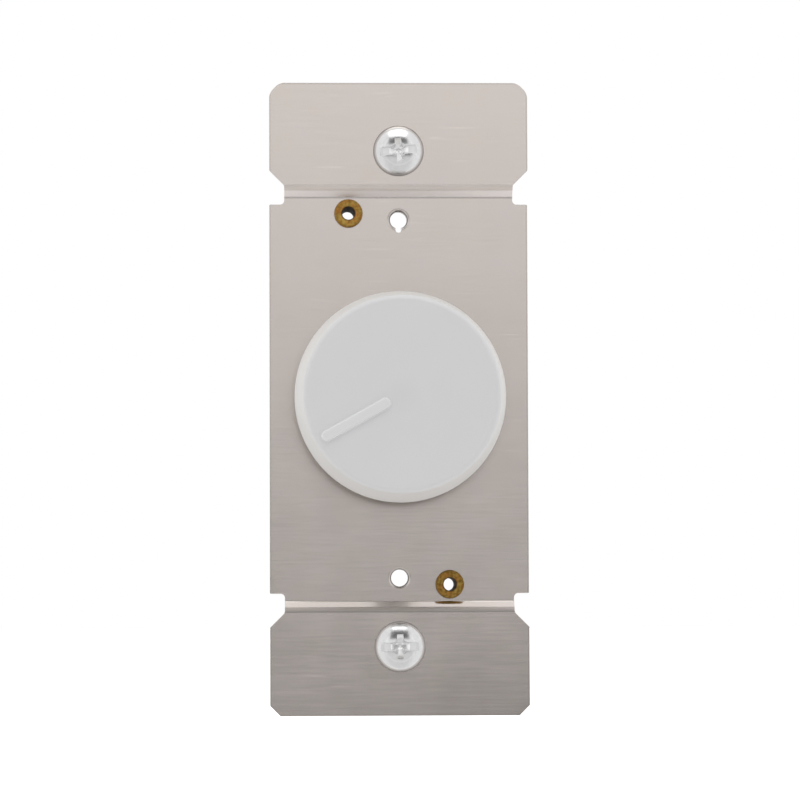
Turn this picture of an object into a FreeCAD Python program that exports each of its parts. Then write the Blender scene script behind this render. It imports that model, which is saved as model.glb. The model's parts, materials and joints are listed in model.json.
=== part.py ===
"""Rotary dimmer switch for a wall box, without its cover plate.

Millimetres. The origin is on the knob's axis, in the front face of the strap's plate, which is also the
wall plane that the ears' backs lie in. X is right, Y goes into the wall and Z is up along the strap.
"""
import FreeCAD, Part
import math
import os
import Sketcher
from FreeCAD import Vector

doc = FreeCAD.newDocument("rotary_dimmer")
sheet = doc.addObject("Spreadsheet::Sheet", "Sizes")


class Size:
    """A length or angle: its number, and the sheet expression that gives it."""

    def __init__(self, number, text):
        self.number = float(number)
        self.text = text

    def __add__(self, other):
        other = as_size(other)
        return Size(self.number + other.number, f"({self.text} + {other.text})")

    def __sub__(self, other):
        other = as_size(other)
        return Size(self.number - other.number, f"({self.text} - {other.text})")

    def __mul__(self, other):
        other = as_size(other)
        return Size(self.number * other.number, f"({self.text} * {other.text})")

    def __truediv__(self, other):
        other = as_size(other)
        return Size(self.number / other.number, f"({self.text} / {other.text})")

    def __neg__(self):
        return Size(-self.number, f"(0 - {self.text})")

    def __radd__(self, other):
        return as_size(other) + self

    def __rsub__(self, other):
        return as_size(other) - self

    def __rmul__(self, other):
        return as_size(other) * self


def as_size(value):
    return value if isinstance(value, Size) else Size(value, repr(float(value)))


def tangent(angle):
    return Size(math.tan(math.radians(angle.number)), f"tan({angle.text})")


def sine(angle):
    return Size(math.sin(math.radians(angle.number)), f"sin({angle.text})")


def cosine(angle):
    return Size(math.cos(math.radians(angle.number)), f"cos({angle.text})")


def arc_tangent(ratio):
    return Size(math.degrees(math.atan(ratio.number)), f"atan({ratio.text})")


DRIVING = {
    # Strap
    "strap_width": 43.5,
    "strap_sheet": 1.27,
    "strap_reach": 53.2,
    "plate_reach": 32.75,
    "neck_notch": 2.5,
    "neck_reach": 35.9,
    "joggle_start": 34.05,
    "joggle_run": 1.34,
    "ear_rise": 1.27,
    "ear_corner": 1.7,
    "upper_corner_fillet": 0.8,
    "lower_corner_fillet": 0.2,
    "flare_fillet": 0.4,
    "bend_inside_radius": 0.25,
    "bend_outside_radius": 1.26,
    "neck_fillet": 0.7,
    # Holes in the strap
    "mount_spacing": 83.34,
    "mount_slot_length": 7.0,
    "mount_slot_height": 4.1,
    "plate_screw_spacing": 60.325,
    "tapped_hole_radius": 1.42,
    "tapped_mouth_fillet": 0.55,
    "tapped_collar_radius": 2.4,
    "tapped_collar_length": 1.1,
    "upper_notch_width": 1.0,
    "upper_notch_reach": 0.75,
    # Eyelets
    "eyelet_x": 8.43,
    "eyelet_z": 31.23,
    "eyelet_bore_radius": 1.05,
    "eyelet_wall": 0.4,
    "eyelet_head_radius": 2.4,
    "eyelet_head_height": 0.55,
    "eyelet_mouth_radius": 1.25,
    "eyelet_clinch_radius": 2.1,
    "eyelet_clinch_height": 0.45,
    "rivet_clearance": 0.05,
    # Housing
    "housing_width": 41.0,
    "housing_reach": 26.6,
    "housing_depth": 25.0,
    "housing_wall": 2.0,
    "housing_corner": 3.0,
    "housing_back_fillet": 1.2,
    "shoulder_width": 36.4,
    "shoulder_reach": 34.0,
    "shoulder_depth": 7.2,
    "shoulder_corner": 2.5,
    "shoulder_core_depth": 5.0,
    "screw_way_width": 7.6,
    "lead_hole_radius": 2.1,
    "lead_hole_spacing": 16.0,
    "lead_hole_chamfer": 0.5,
    "ledge_size": 4.0,
    "ledge_height": 2.2,
    # Mounting screws and their washers
    "screw_radius": 1.75,
    "screw_neck_radius": 1.4,
    "screw_neck_spare": 0.3,
    "screw_length": 22.0,
    "screw_point": 0.8,
    "screw_head_radius": 4.3,
    "screw_head_height": 2.1,
    "screw_head_edge": 0.5,
    "recess_arm_length": 4.9,
    "recess_arm_width": 1.15,
    "recess_depth": 1.8,
    "recess_end_length": 2.2,
    "recess_end_width": 0.7,
    "slot_width": 1.4,
    "slot_depth": 0.75,
    "upper_recess_angle": 12.0,
    "lower_recess_angle": 3.0,
    "washer_radius": 4.4,
    "washer_thickness": 0.8,
    "turning_clearance": 0.05,
    # Shaft, bushing and knob
    "shaft_radius": 3.0,
    "shaft_front": 14.2,
    "shaft_flat_depth": 1.5,
    "shaft_flat_length": 9.5,
    "shaft_tail_radius": 2.0,
    "shaft_chamfer": 0.5,
    "bushing_radius": 4.5,
    "bushing_head_radius": 5.2,
    "bushing_head_height": 0.7,
    "bushing_flange_radius": 6.0,
    "bushing_flange_thickness": 0.8,
    "ring_radius": 4.4,
    "ring_thickness": 0.6,
    "ring_groove_radius": 2.5,
    "ring_gap": 0.12,
    "ring_mouth": 4.0,
    "knob_gap": 6.2,
    "knob_height": 10.0,
    "knob_base_radius": 17.67,
    "knob_face_radius": 16.3,
    "knob_edge_fillet": 1.3,
    "knob_wall": 1.8,
    "knob_hub_radius": 5.0,
    "knob_hub_length": 5.0,
    "knob_rib_thickness": 1.2,
    "knob_rib_setback": 2.5,
    "bore_clearance": 0.05,
    "pointer_width": 1.65,
    "pointer_inner": 2.4,
    "pointer_outer": 15.1,
    "pointer_rise": 0.5,
    "pointer_angle": 209.0,
    "turn_range": 240.0,
    "clip_width": 3.0,
    "clip_thickness": 0.35,
    "clip_length": 6.0,
    # Potentiometer
    "pot_radius": 9.0,
    "pot_sheet": 0.6,
    "pot_depth": 7.5,
    "pot_lug_width": 3.0,
    "pot_lug_hook": 1.6,
    "part_fit": 0.05,
    "wafer_thickness": 1.5,
    "wafer_hole_radius": 2.8,
    "wafer_tongue_width": 11.0,
    "wafer_tongue_reach": 11.4,
    "track_inner_radius": 5.0,
    "track_outer_radius": 7.0,
    "track_thickness": 0.15,
    "track_gap_angle": 60.0,
    "terminal_spacing": 4.0,
    "terminal_width": 1.6,
    "terminal_thickness": 0.5,
    "terminal_gap": 0.3,
    "carrier_radius": 5.9,
    "carrier_thickness": 1.8,
    "carrier_gap": 0.4,
    "stop_inner_radius": 6.3,
    "stop_height": 3.0,
    "stop_half_angle": 31.0,
    "stop_clear_angle": 2.0,
    "carrier_tab_root": 5.3,
    "carrier_tab_radius": 7.9,
    "finger_thickness": 0.25,
    "finger_width": 2.2,
    "finger_inner": 3.4,
    "finger_outer": 6.0,
    "finger_track_gap": 0.2,
    "finger_foot": 0.7,
    "finger_skew": 0.2,
    # Switch at the rear of the potentiometer
    "switch_depth": 6.0,
    "switch_wall": 1.2,
    "cam_radius": 2.9,
    "cam_lobe_radius": 4.1,
    "cam_thickness": 2.0,
    "cam_lobe_width": 2.0,
    "cam_lobe_root_width": 3.2,
    "cam_lobe_root_radius": 2.32,
    "blade_height": 4.4,
    "blade_thickness": 0.3,
    "blade_width": 2.2,
    "blade_reach": 4.6,
    "tag_offset": 9.6,
    "contact_gap": 0.8,
    "contact_post": 1.2,
    "tag_width": 1.5,
    "cam_setback": 1.0,
    # Circuit board and its parts
    "board_width": 34.0,
    "board_height": 46.0,
    "board_thickness": 1.6,
    "board_corner": 2.0,
    "board_hole_clearance": 0.15,
    "pin_proud": 0.8,
    "triac_drop": 14.4,
    "triac_hole_x": -1.5,
    "triac_width": 10.0,
    "triac_tab_thickness": 1.3,
    "triac_tab_edge": 2.8,
    "triac_body_start": 3.7,
    "triac_body_length": 9.0,
    "triac_body_thickness": 4.4,
    "triac_hole_radius": 1.9,
    "triac_chamfer": 0.5,
    "triac_lead_spacing": 2.54,
    "triac_lead_width": 0.8,
    "triac_lead_thickness": 0.5,
    "triac_lead_run": 2.4,
    "insulator_thickness": 0.3,
    "insulator_margin": 0.6,
    "triac_rivet_radius": 1.5,
    "triac_rivet_head_radius": 2.5,
    "triac_rivet_head_height": 0.7,
    "choke_x": -8.8,
    "choke_z": 15.2,
    "choke_core_radius": 6.8,
    "choke_hole_radius": 3.6,
    "choke_core_height": 6.0,
    "choke_wire": 1.0,
    "choke_turns": 16,
    "choke_gap": 0.05,
    "noise_capacitor_x": 8.6,
    "noise_capacitor_z": 16.0,
    "noise_capacitor_length": 13.0,
    "noise_capacitor_thickness": 6.0,
    "noise_capacitor_height": 11.0,
    "noise_capacitor_lead_inset": 1.5,
    "timing_capacitor_x": -10.0,
    "timing_capacitor_z": -18.6,
    "timing_capacitor_length": 7.2,
    "timing_capacitor_thickness": 3.0,
    "timing_capacitor_height": 7.5,
    "timing_capacitor_lead_inset": 1.2,
    "capacitor_corner": 0.6,
    "lead_radius": 0.3,
    "small_part_pitch": 2.8,
    "small_part_z": -15.6,
    "small_part_x": 1.8,
    "resistor_radius": 1.2,
    "resistor_length": 6.3,
    "diac_radius": 0.95,
    "diac_length": 4.2,
    "small_lead_span": 10.0,
}

# How far a pad reaches into the solid that it joins, and how far a cut runs past the solid
BITE = 0.2
PAST = 5.0

size = {}
for row, (alias, number) in enumerate(DRIVING.items(), start=1):
    sheet.set(f"A{row}", alias)
    sheet.set(f"B{row}", str(number))
    sheet.setAlias(f"B{row}", alias)
    size[alias] = Size(number, f"Sizes.{alias}")
doc.recompute()


def of(alias):
    return size[alias]


# Places worked out from the driving sizes
plate_back = of("strap_sheet")
ear_front = -of("ear_rise")
ear_back = of("strap_sheet") - of("ear_rise")
half_width = of("strap_width") / 2
half_neck = half_width - of("neck_notch")
joggle_end = of("joggle_start") + of("joggle_run")
joggle_angle = arc_tangent(of("ear_rise") / of("joggle_run"))
joggle_shift = of("strap_sheet") * tangent(joggle_angle / 2)
mount_z = of("mount_spacing") / 2
plate_screw_z = of("plate_screw_spacing") / 2
eyelet_outer = of("eyelet_bore_radius") + of("eyelet_wall")
eyelet_hole = eyelet_outer + of("rivet_clearance")
shoulder_back = plate_back + of("shoulder_depth")
housing_back = plate_back + of("housing_depth")
housing_floor = housing_back - of("housing_wall")
knob_base = -of("knob_gap")
knob_face = knob_base - of("knob_height")
pot_inner = of("pot_radius") - of("pot_sheet")
pot_back = plate_back + of("pot_depth")
wafer_front = pot_back - of("wafer_thickness")
switch_back = pot_back + of("switch_depth")
board_back = housing_floor - of("ledge_height")
board_front = board_back - of("board_thickness")
pin_end = board_back + of("pin_proud")
cam_front = pot_back + of("cam_setback")
through_strap = of("strap_sheet") + of("ear_rise") + PAST
bushing_hole = of("bushing_radius") + of("rivet_clearance")
stop_angle = of("pointer_angle") + (360 - of("turn_range")) / 2
carrier_half_angle = 180 - of("turn_range") / 2 - of("stop_half_angle") - of("stop_clear_angle")
knob_turned = 90 - of("pointer_angle")


def bind(item, **values):
    """Sets properties of an object, by name, from sizes; double underscores stand for dots."""
    for name, value in values.items():
        item.setExpression(name.replace("__", "."), as_size(value).text)


def make_body(label):
    body = doc.addObject("PartDesign::Body", label)
    body.Label = label
    return body


def origin_plane(body, role):
    return next(item for item in body.Origin.OriginFeatures if item.Role == role)


def start_sketch(body, role, name, offset=0.0):
    sketch = body.newObject("Sketcher::SketchObject", f"{body.Label}_{name}")
    sketch.AttachmentSupport = [(origin_plane(body, role), "")]
    sketch.MapMode = "FlatFace"
    bind(sketch, AttachmentOffset__Base__z=offset)
    return sketch


def pin_point(sketch, geometry, end, across, up):
    """Fixes one end or centre of a sketch's curve at a bound place."""
    for kind, value in (("DistanceX", across), ("DistanceY", up)):
        value = as_size(value)
        index = sketch.addConstraint(Sketcher.Constraint(kind, -1, 1, geometry, end, value.number))
        sketch.setExpression(f"Constraints[{index}]", value.text)


def add_outline(sketch, corners):
    """A closed outline of straight edges, each corner bound to its two sizes."""
    corners = [(as_size(across), as_size(up)) for across, up in corners]
    places = [Vector(across.number, up.number, 0) for across, up in corners]
    first = sketch.GeometryCount
    count = len(corners)
    for index in range(count):
        sketch.addGeometry(Part.LineSegment(places[index], places[(index + 1) % count]))
    for index in range(count):
        following = first + (index + 1) % count
        sketch.addConstraint(Sketcher.Constraint("Coincident", first + index, 2, following, 1))
    for index, (across, up) in enumerate(corners):
        pin_point(sketch, first + index, 1, across, up)


def add_circle(sketch, across, up, radius):
    across, up, radius = as_size(across), as_size(up), as_size(radius)
    circle = Part.Circle(Vector(across.number, up.number, 0), Vector(0, 0, 1), radius.number)
    geometry = sketch.addGeometry(circle)
    pin_point(sketch, geometry, 3, across, up)
    index = sketch.addConstraint(Sketcher.Constraint("Radius", geometry, radius.number))
    sketch.setExpression(f"Constraints[{index}]", radius.text)


def add_rectangle(sketch, low_across, low_up, high_across, high_up):
    add_outline(sketch, [(low_across, low_up), (high_across, low_up),
                         (high_across, high_up), (low_across, high_up)])


def add_slot(sketch, along, start, end, radius, level=0.0):
    """A slot with round ends, along the sketch's first ("x") or second ("y") axis."""
    def place(distance, aside):
        return (distance, level + aside) if along == "x" else (level - aside, distance)
    start, end, radius, level = as_size(start), as_size(end), as_size(radius), as_size(level)
    turn = 0.0 if along == "x" else math.pi / 2
    low, high = place(start, as_size(0.0)), place(end, as_size(0.0))
    axis = Vector(0, 0, 1)
    low_arc = sketch.addGeometry(Part.ArcOfCircle(
        Part.Circle(Vector(low[0].number, low[1].number, 0), axis, radius.number),
        turn + math.pi / 2, turn + 3 * math.pi / 2))
    high_arc = sketch.addGeometry(Part.ArcOfCircle(
        Part.Circle(Vector(high[0].number, high[1].number, 0), axis, radius.number),
        turn - math.pi / 2, turn + math.pi / 2))
    sides = []
    for aside in (-radius, radius):
        ends = [place(start, aside), place(end, aside)]
        points = [Vector(across.number, up.number, 0) for across, up in ends]
        sides.append(sketch.addGeometry(Part.LineSegment(points[0], points[1])))
    for side, low_end, high_end in ((sides[0], 2, 1), (sides[1], 1, 2)):
        sketch.addConstraint(Sketcher.Constraint("Tangent", low_arc, low_end, side, 1))
        sketch.addConstraint(Sketcher.Constraint("Tangent", high_arc, high_end, side, 2))
    sketch.addConstraint(Sketcher.Constraint("Equal", low_arc, high_arc))
    index = sketch.addConstraint(Sketcher.Constraint("Radius", low_arc, radius.number))
    sketch.setExpression(f"Constraints[{index}]", radius.text)
    pin_point(sketch, low_arc, 3, *low)
    pin_point(sketch, high_arc, 3, *high)


def polar(radius, angle):
    """A place in the XZ plane, from its distance to the knob's axis and its angle from X towards Z."""
    return radius * cosine(angle), radius * sine(angle)


def add_sector(sketch, inner, outer, half_angle, middle_angle):
    """A block between two radii with flat sides, over twice the half angle."""
    angles = [middle_angle - half_angle, middle_angle, middle_angle + half_angle]
    add_outline(sketch, [polar(outer, angle) for angle in angles]
                + [polar(inner, angle) for angle in reversed(angles)])


def pad(body, sketch, length, towards_wall=True, both_ways=False):
    """Pads a sketch. On the XZ plane a sketch faces the room, so into the wall is reversed."""
    feature = body.newObject("PartDesign::Pad", sketch.Name + "_pad")
    feature.Profile = sketch
    feature.Reversed = towards_wall
    if both_ways:
        feature.Midplane = True
        feature.Reversed = False
    bind(feature, Length=length)
    return feature


def pocket(body, sketch, length, towards_wall=True, both_ways=False):
    feature = body.newObject("PartDesign::Pocket", sketch.Name + "_pocket")
    feature.Profile = sketch
    feature.Reversed = not towards_wall
    if both_ways:
        feature.Midplane = True
        feature.Reversed = False
    bind(feature, Length=length)
    return feature


def revolve(body, sketch, cut=False):
    kind = "PartDesign::Groove" if cut else "PartDesign::Revolution"
    feature = body.newObject(kind, sketch.Name + "_turned")
    feature.Profile = sketch
    feature.ReferenceAxis = (sketch, ["V_Axis"])
    feature.Angle = 360.0
    return feature


def turned_body(label, profile, name="profile"):
    """A body turned about the Y axis from corners given as (radius, place along Y)."""
    body = make_body(label)
    sketch = start_sketch(body, "XY_Plane", name)
    add_outline(sketch, profile)
    revolve(body, sketch)
    return body


def near(value, target, tolerance=0.01):
    return abs(value - as_size(target).number) < tolerance


def edge_names(shape, test):
    names = [f"Edge{index}" for index, edge in enumerate(shape.Edges, start=1) if test(edge)]
    assert names, "no edge found"
    return names


def runs_along(edge, axis):
    """Whether an edge is a straight line along one of the three axes."""
    if not isinstance(edge.Curve, Part.Line):
        return False
    direction = edge.tangentAt(edge.FirstParameter)
    return abs(abs(getattr(direction, axis)) - 1) < 1e-6


def circle_at(edge, radius, along_y):
    """Whether an edge is a circle about a line along Y, of this radius and at this place."""
    return (isinstance(edge.Curve, Part.Circle) and near(edge.Curve.Radius, radius)
            and near(edge.Curve.Center.y, along_y))


def blend_edges(body, kind, name, test, **amount):
    """A fillet or chamfer on the edges of the body's tip that pass the test."""
    doc.recompute()
    tip = body.Tip
    names = edge_names(tip.Shape, test)
    feature = body.newObject(f"PartDesign::{kind}", f"{body.Label}_{name}")
    feature.Base = (tip, names)
    bind(feature, **amount)
    doc.recompute()
    return feature


def place(body, x=0.0, y=0.0, z=0.0, turn=None):
    """Puts a body at bound places, turned about the Y axis if asked."""
    if turn is not None:
        body.Placement = FreeCAD.Placement(Vector(), FreeCAD.Rotation(Vector(0, 1, 0), as_size(turn).number))
        bind(body, Placement__Rotation__Angle=turn)
    bind(body, Placement__Base__x=x, Placement__Base__y=y, Placement__Base__z=z)


def mirrored_corners(upper):
    """Closes an outline that is the same above and below: upper goes from right to left."""
    return upper + [(across, -up) for across, up in reversed(upper)]


def build_strap():
    body = make_body("mounting_strap")
    side = start_sketch(body, "YZ_Plane", "side_profile")
    upper = [(as_size(0.0), of("joggle_start")),
             (ear_front, joggle_end),
             (ear_front, of("strap_reach")),
             (ear_back, of("strap_reach")),
             (ear_back, joggle_end + joggle_shift),
             (plate_back, of("joggle_start") + joggle_shift)]
    add_outline(side, mirrored_corners(upper))
    pad(body, side, of("strap_width"), both_ways=True)

    flare = of("neck_notch")
    corner = of("ear_corner")
    edge = [(half_width, of("plate_reach")),
            (half_neck, of("plate_reach")),
            (half_neck, of("neck_reach")),
            (half_width, of("neck_reach") + flare),
            (half_width, of("strap_reach") - corner),
            (half_width - corner, of("strap_reach"))]
    upper_edge = edge + [(-across, up) for across, up in reversed(edge)]
    outline = start_sketch(body, "XZ_Plane", "outline")
    add_outline(outline, mirrored_corners(upper_edge))
    outside, beyond = half_width + PAST, of("strap_reach") + PAST
    add_rectangle(outline, -outside, -beyond, outside, beyond)
    pocket(body, outline, through_strap * 2, both_ways=True)

    collars = start_sketch(body, "XZ_Plane", "tapped_collars", -plate_back)
    for side_sign in (1, -1):
        add_circle(collars, 0.0, side_sign * plate_screw_z, of("tapped_collar_radius"))
    pad(body, collars, of("tapped_collar_length"))

    holes = start_sketch(body, "XZ_Plane", "holes")
    add_circle(holes, 0.0, 0.0, bushing_hole)
    add_circle(holes, of("triac_hole_x"), -of("triac_drop"), of("triac_rivet_radius") + of("rivet_clearance"))
    slot_radius = of("mount_slot_height") / 2
    slot_centre = of("mount_slot_length") / 2 - slot_radius
    for side_sign in (1, -1):
        add_circle(holes, 0.0, side_sign * plate_screw_z, of("tapped_hole_radius"))
        add_circle(holes, -side_sign * of("eyelet_x"), side_sign * of("eyelet_z"), eyelet_hole)
        add_slot(holes, "x", -slot_centre, slot_centre, slot_radius, side_sign * mount_z)
    pocket(body, holes, through_strap * 2, both_ways=True)

    notch = start_sketch(body, "XZ_Plane", "upper_notch")
    notch_radius = of("upper_notch_width") / 2
    notch_low = plate_screw_z - of("tapped_hole_radius") - of("upper_notch_reach") + notch_radius
    add_slot(notch, "y", notch_low, plate_screw_z, notch_radius)
    pocket(body, notch, through_strap * 2, both_ways=True)

    blend_edges(body, "Fillet", "mouths", lambda e: circle_at(e, of("tapped_hole_radius"), 0.0),
                Radius=of("tapped_mouth_fillet"))

    def bend(e, y, z):
        return runs_along(e, "x") and near(e.CenterOfMass.y, y) and near(abs(e.CenterOfMass.z), z)

    blend_edges(body, "Fillet", "inside_bends",
                lambda e: bend(e, 0.0, of("joggle_start")) or bend(e, ear_back, joggle_end + joggle_shift),
                Radius=of("bend_inside_radius"))
    blend_edges(body, "Fillet", "outside_bends",
                lambda e: bend(e, ear_front, joggle_end) or bend(e, plate_back, of("joggle_start") + joggle_shift),
                Radius=of("bend_outside_radius"))

    def corner_edge(e, x, z):
        return runs_along(e, "y") and near(abs(e.CenterOfMass.x), x) and near(abs(e.CenterOfMass.z), z)

    blend_edges(body, "Fillet", "neck_corners",
                lambda e: corner_edge(e, half_neck, of("plate_reach")),
                Radius=of("neck_fillet"))
    for name, side_sign in (("upper", 1), ("lower", -1)):
        blend_edges(body, "Fillet", f"{name}_ear_corners",
                    lambda e: e.CenterOfMass.z * side_sign > 0
                    and (corner_edge(e, half_width, of("strap_reach") - corner)
                         or corner_edge(e, half_width - corner, of("strap_reach"))),
                    Radius=of(f"{name}_corner_fillet"))
    blend_edges(body, "Fillet", "flare_corners",
                lambda e: corner_edge(e, half_width, of("neck_reach") + flare),
                Radius=of("flare_fillet"))
    return body


def build_housing():
    """Moulded cup with four shoulder lobes: two take the eyelets and the other two are cored out."""
    body = make_body("rear_housing")
    half = of("housing_width") / 2
    reach = of("housing_reach")
    box = start_sketch(body, "XZ_Plane", "box", -plate_back)
    add_rectangle(box, -half, -reach, half, reach)
    pad(body, box, of("housing_depth"))
    blend_edges(body, "Fillet", "box_corners", lambda e: runs_along(e, "y"), Radius=of("housing_corner"))

    shoulder = start_sketch(body, "XZ_Plane", "shoulder", -plate_back)
    shoulder_half = of("shoulder_width") / 2
    add_rectangle(shoulder, -shoulder_half, -of("shoulder_reach"), shoulder_half, of("shoulder_reach"))
    pad(body, shoulder, of("shoulder_depth"))
    blend_edges(body, "Fillet", "shoulder_corners",
                lambda e: runs_along(e, "y") and near(abs(e.CenterOfMass.z), of("shoulder_reach")),
                Radius=of("shoulder_corner"))

    ways = start_sketch(body, "XZ_Plane", "screw_ways", -plate_back)
    way_half = of("screw_way_width") / 2
    for side_sign in (1, -1):
        add_rectangle(ways, -way_half, side_sign * reach, way_half, side_sign * (of("shoulder_reach") + PAST))
    pocket(body, ways, of("shoulder_depth") + BITE)

    blend_edges(body, "Fillet", "back_edges",
                lambda e: near(e.BoundBox.YMin, housing_back) and near(e.BoundBox.YMax, housing_back),
                Radius=of("housing_back_fillet"))

    cavity = start_sketch(body, "XZ_Plane", "cavity", -plate_back)
    inner_half = half - of("housing_wall")
    inner_reach = reach - of("housing_wall")
    add_rectangle(cavity, -inner_half, -inner_reach, inner_half, inner_reach)
    pocket(body, cavity, of("housing_depth") - of("housing_wall"))

    ledges = start_sketch(body, "XZ_Plane", "board_ledges", -board_back)
    for across_sign in (1, -1):
        for up_sign in (1, -1):
            low_x, low_z = inner_half - of("ledge_size"), inner_reach - of("ledge_size")
            add_rectangle(ledges, across_sign * low_x, up_sign * low_z,
                          across_sign * (inner_half + BITE), up_sign * (inner_reach + BITE))
    pad(body, ledges, of("ledge_height") + BITE)

    holes = start_sketch(body, "XZ_Plane", "holes", -plate_back)
    cores = start_sketch(body, "XZ_Plane", "cores", -shoulder_back)
    for side_sign in (1, -1):
        add_circle(holes, -side_sign * of("eyelet_x"), side_sign * of("eyelet_z"), eyelet_hole)
        add_circle(holes, side_sign * of("lead_hole_spacing") / 2, 0.0, of("lead_hole_radius"))
        add_circle(cores, side_sign * of("eyelet_x"), side_sign * of("eyelet_z"), eyelet_hole)
    pocket(body, holes, of("housing_depth") + PAST)
    pocket(body, cores, of("shoulder_core_depth"), towards_wall=False)
    blend_edges(body, "Chamfer", "lead_hole_mouths",
                lambda e: circle_at(e, of("lead_hole_radius"), housing_back), Size=of("lead_hole_chamfer"))
    return body


def build_eyelet(label, side_sign):
    lip = -of("eyelet_head_height")
    profile = [(of("eyelet_bore_radius"), lip / 2),
               (of("eyelet_mouth_radius"), lip),
               (of("eyelet_head_radius") - of("eyelet_wall"), lip),
               (of("eyelet_head_radius"), lip / 3),
               (of("eyelet_head_radius"), as_size(0.0)),
               (eyelet_outer, as_size(0.0)),
               (eyelet_outer, shoulder_back),
               (of("eyelet_clinch_radius"), shoulder_back),
               (of("eyelet_clinch_radius"), shoulder_back + of("eyelet_clinch_height")),
               (of("eyelet_bore_radius"), shoulder_back + of("eyelet_clinch_height"))]
    body = turned_body(label, profile)
    blend_edges(body, "Chamfer", "clinched_edge",
                lambda e: circle_at(e, of("eyelet_clinch_radius"), shoulder_back + of("eyelet_clinch_height")),
                Size=of("eyelet_wall") / 2)
    place(body, x=-side_sign * of("eyelet_x"), z=side_sign * of("eyelet_z"))
    return body


def build_mounting_screw(label, side_sign, recess_angle):
    """Domed head with a slot across a cross recess, a thin neck for its washer, a shank and a short point."""
    head_top = ear_front - of("screw_head_height")
    edge = ear_front - of("screw_head_edge")
    neck_end = ear_back + of("washer_thickness") + of("screw_neck_spare")
    body = make_body(label)
    profile = start_sketch(body, "XY_Plane", "profile")
    add_outline(profile, [(as_size(0.0), edge),
                          (of("screw_head_radius"), edge),
                          (of("screw_head_radius"), ear_front),
                          (of("screw_neck_radius"), ear_front),
                          (of("screw_neck_radius"), neck_end),
                          (of("screw_radius"), neck_end),
                          (of("screw_radius"), ear_front + of("screw_length") - of("screw_point")),
                          (of("screw_radius") - of("screw_point"), ear_front + of("screw_length")),
                          (as_size(0.0), ear_front + of("screw_length"))])
    revolve(body, profile)

    dome_height = of("screw_head_height") - of("screw_head_edge")
    head_radius = of("screw_head_radius")
    dome_radius = (head_radius * head_radius + dome_height * dome_height) / (2 * dome_height)
    dome = start_sketch(body, "XY_Plane", "dome")
    add_dome(dome, head_radius, edge, head_top, dome_radius)
    revolve(body, dome)

    mouth = start_sketch(body, "XZ_Plane", "recess_mouth", -head_top)
    add_cross(mouth, of("recess_arm_length") / 2, of("recess_arm_width") / 2)
    end = start_sketch(body, "XZ_Plane", "recess_end", -(head_top + of("recess_depth")))
    add_cross(end, of("recess_end_length") / 2, of("recess_end_width") / 2)
    recess = body.newObject("PartDesign::SubtractiveLoft", f"{label}_recess")
    recess.Profile = mouth
    recess.Sections = [end]
    recess.Ruled = True

    slot = start_sketch(body, "XZ_Plane", "slot", -head_top)
    slot_half = of("slot_width") / 2
    add_rectangle(slot, -(head_radius + PAST), -slot_half, head_radius + PAST, slot_half)
    pocket(body, slot, of("slot_depth"))
    place(body, z=side_sign * mount_z, turn=recess_angle)
    return body


def add_cross(sketch, arm, width):
    add_outline(sketch, [(arm, -width), (arm, width), (width, width), (width, arm), (-width, arm),
                         (-width, width), (-arm, width), (-arm, -width), (-width, -width),
                         (-width, -arm), (width, -arm), (width, -width)])


def add_dome(sketch, rim_radius, rim, top, ball_radius):
    """Half of a domed cap beside the sketch's second axis: base, arc over to the axis, and the axis."""
    centre = top + ball_radius
    start = Vector(rim_radius.number, rim.number, 0)
    summit = Vector(0, top.number, 0)
    base = sketch.addGeometry(Part.LineSegment(Vector(0, rim.number, 0), start))
    side = sketch.addGeometry(Part.LineSegment(summit, Vector(0, rim.number, 0)))
    angle = math.atan2(rim.number - centre.number, rim_radius.number)
    circle = Part.Circle(Vector(0, centre.number, 0), Vector(0, 0, 1), ball_radius.number)
    arc = sketch.addGeometry(Part.ArcOfCircle(circle, -math.pi / 2, angle))
    sketch.addConstraint(Sketcher.Constraint("Coincident", base, 2, arc, 2))
    sketch.addConstraint(Sketcher.Constraint("Coincident", arc, 1, side, 1))
    sketch.addConstraint(Sketcher.Constraint("Coincident", side, 2, base, 1))
    pin_point(sketch, base, 1, 0.0, rim)
    pin_point(sketch, base, 2, rim_radius, rim)
    pin_point(sketch, side, 1, 0.0, top)
    sketch.addConstraint(Sketcher.Constraint("PointOnObject", arc, 3, -2))


def build_washer(label, side_sign):
    """Washer on the screw's neck: its bore is narrower than the thread, so the screw stays captive."""
    inner = of("screw_neck_radius") + of("turning_clearance")
    body = turned_body(label, [(inner, ear_back), (of("washer_radius"), ear_back),
                               (of("washer_radius"), ear_back + of("washer_thickness")),
                               (inner, ear_back + of("washer_thickness"))])
    place(body, z=side_sign * mount_z)
    return body


def build_bushing():
    inner = of("shaft_radius") + of("turning_clearance")
    flange_back = plate_back + of("bushing_flange_thickness")
    head = -of("bushing_head_height")
    return turned_body("shaft_bushing", [
        (inner, head), (of("bushing_head_radius") - of("bushing_head_height") / 2, head),
        (of("bushing_head_radius"), head / 2), (of("bushing_head_radius"), as_size(0.0)),
        (of("bushing_radius"), as_size(0.0)), (of("bushing_radius"), plate_back),
        (of("bushing_flange_radius"), plate_back), (of("bushing_flange_radius"), flange_back),
        (inner, flange_back)])


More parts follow.
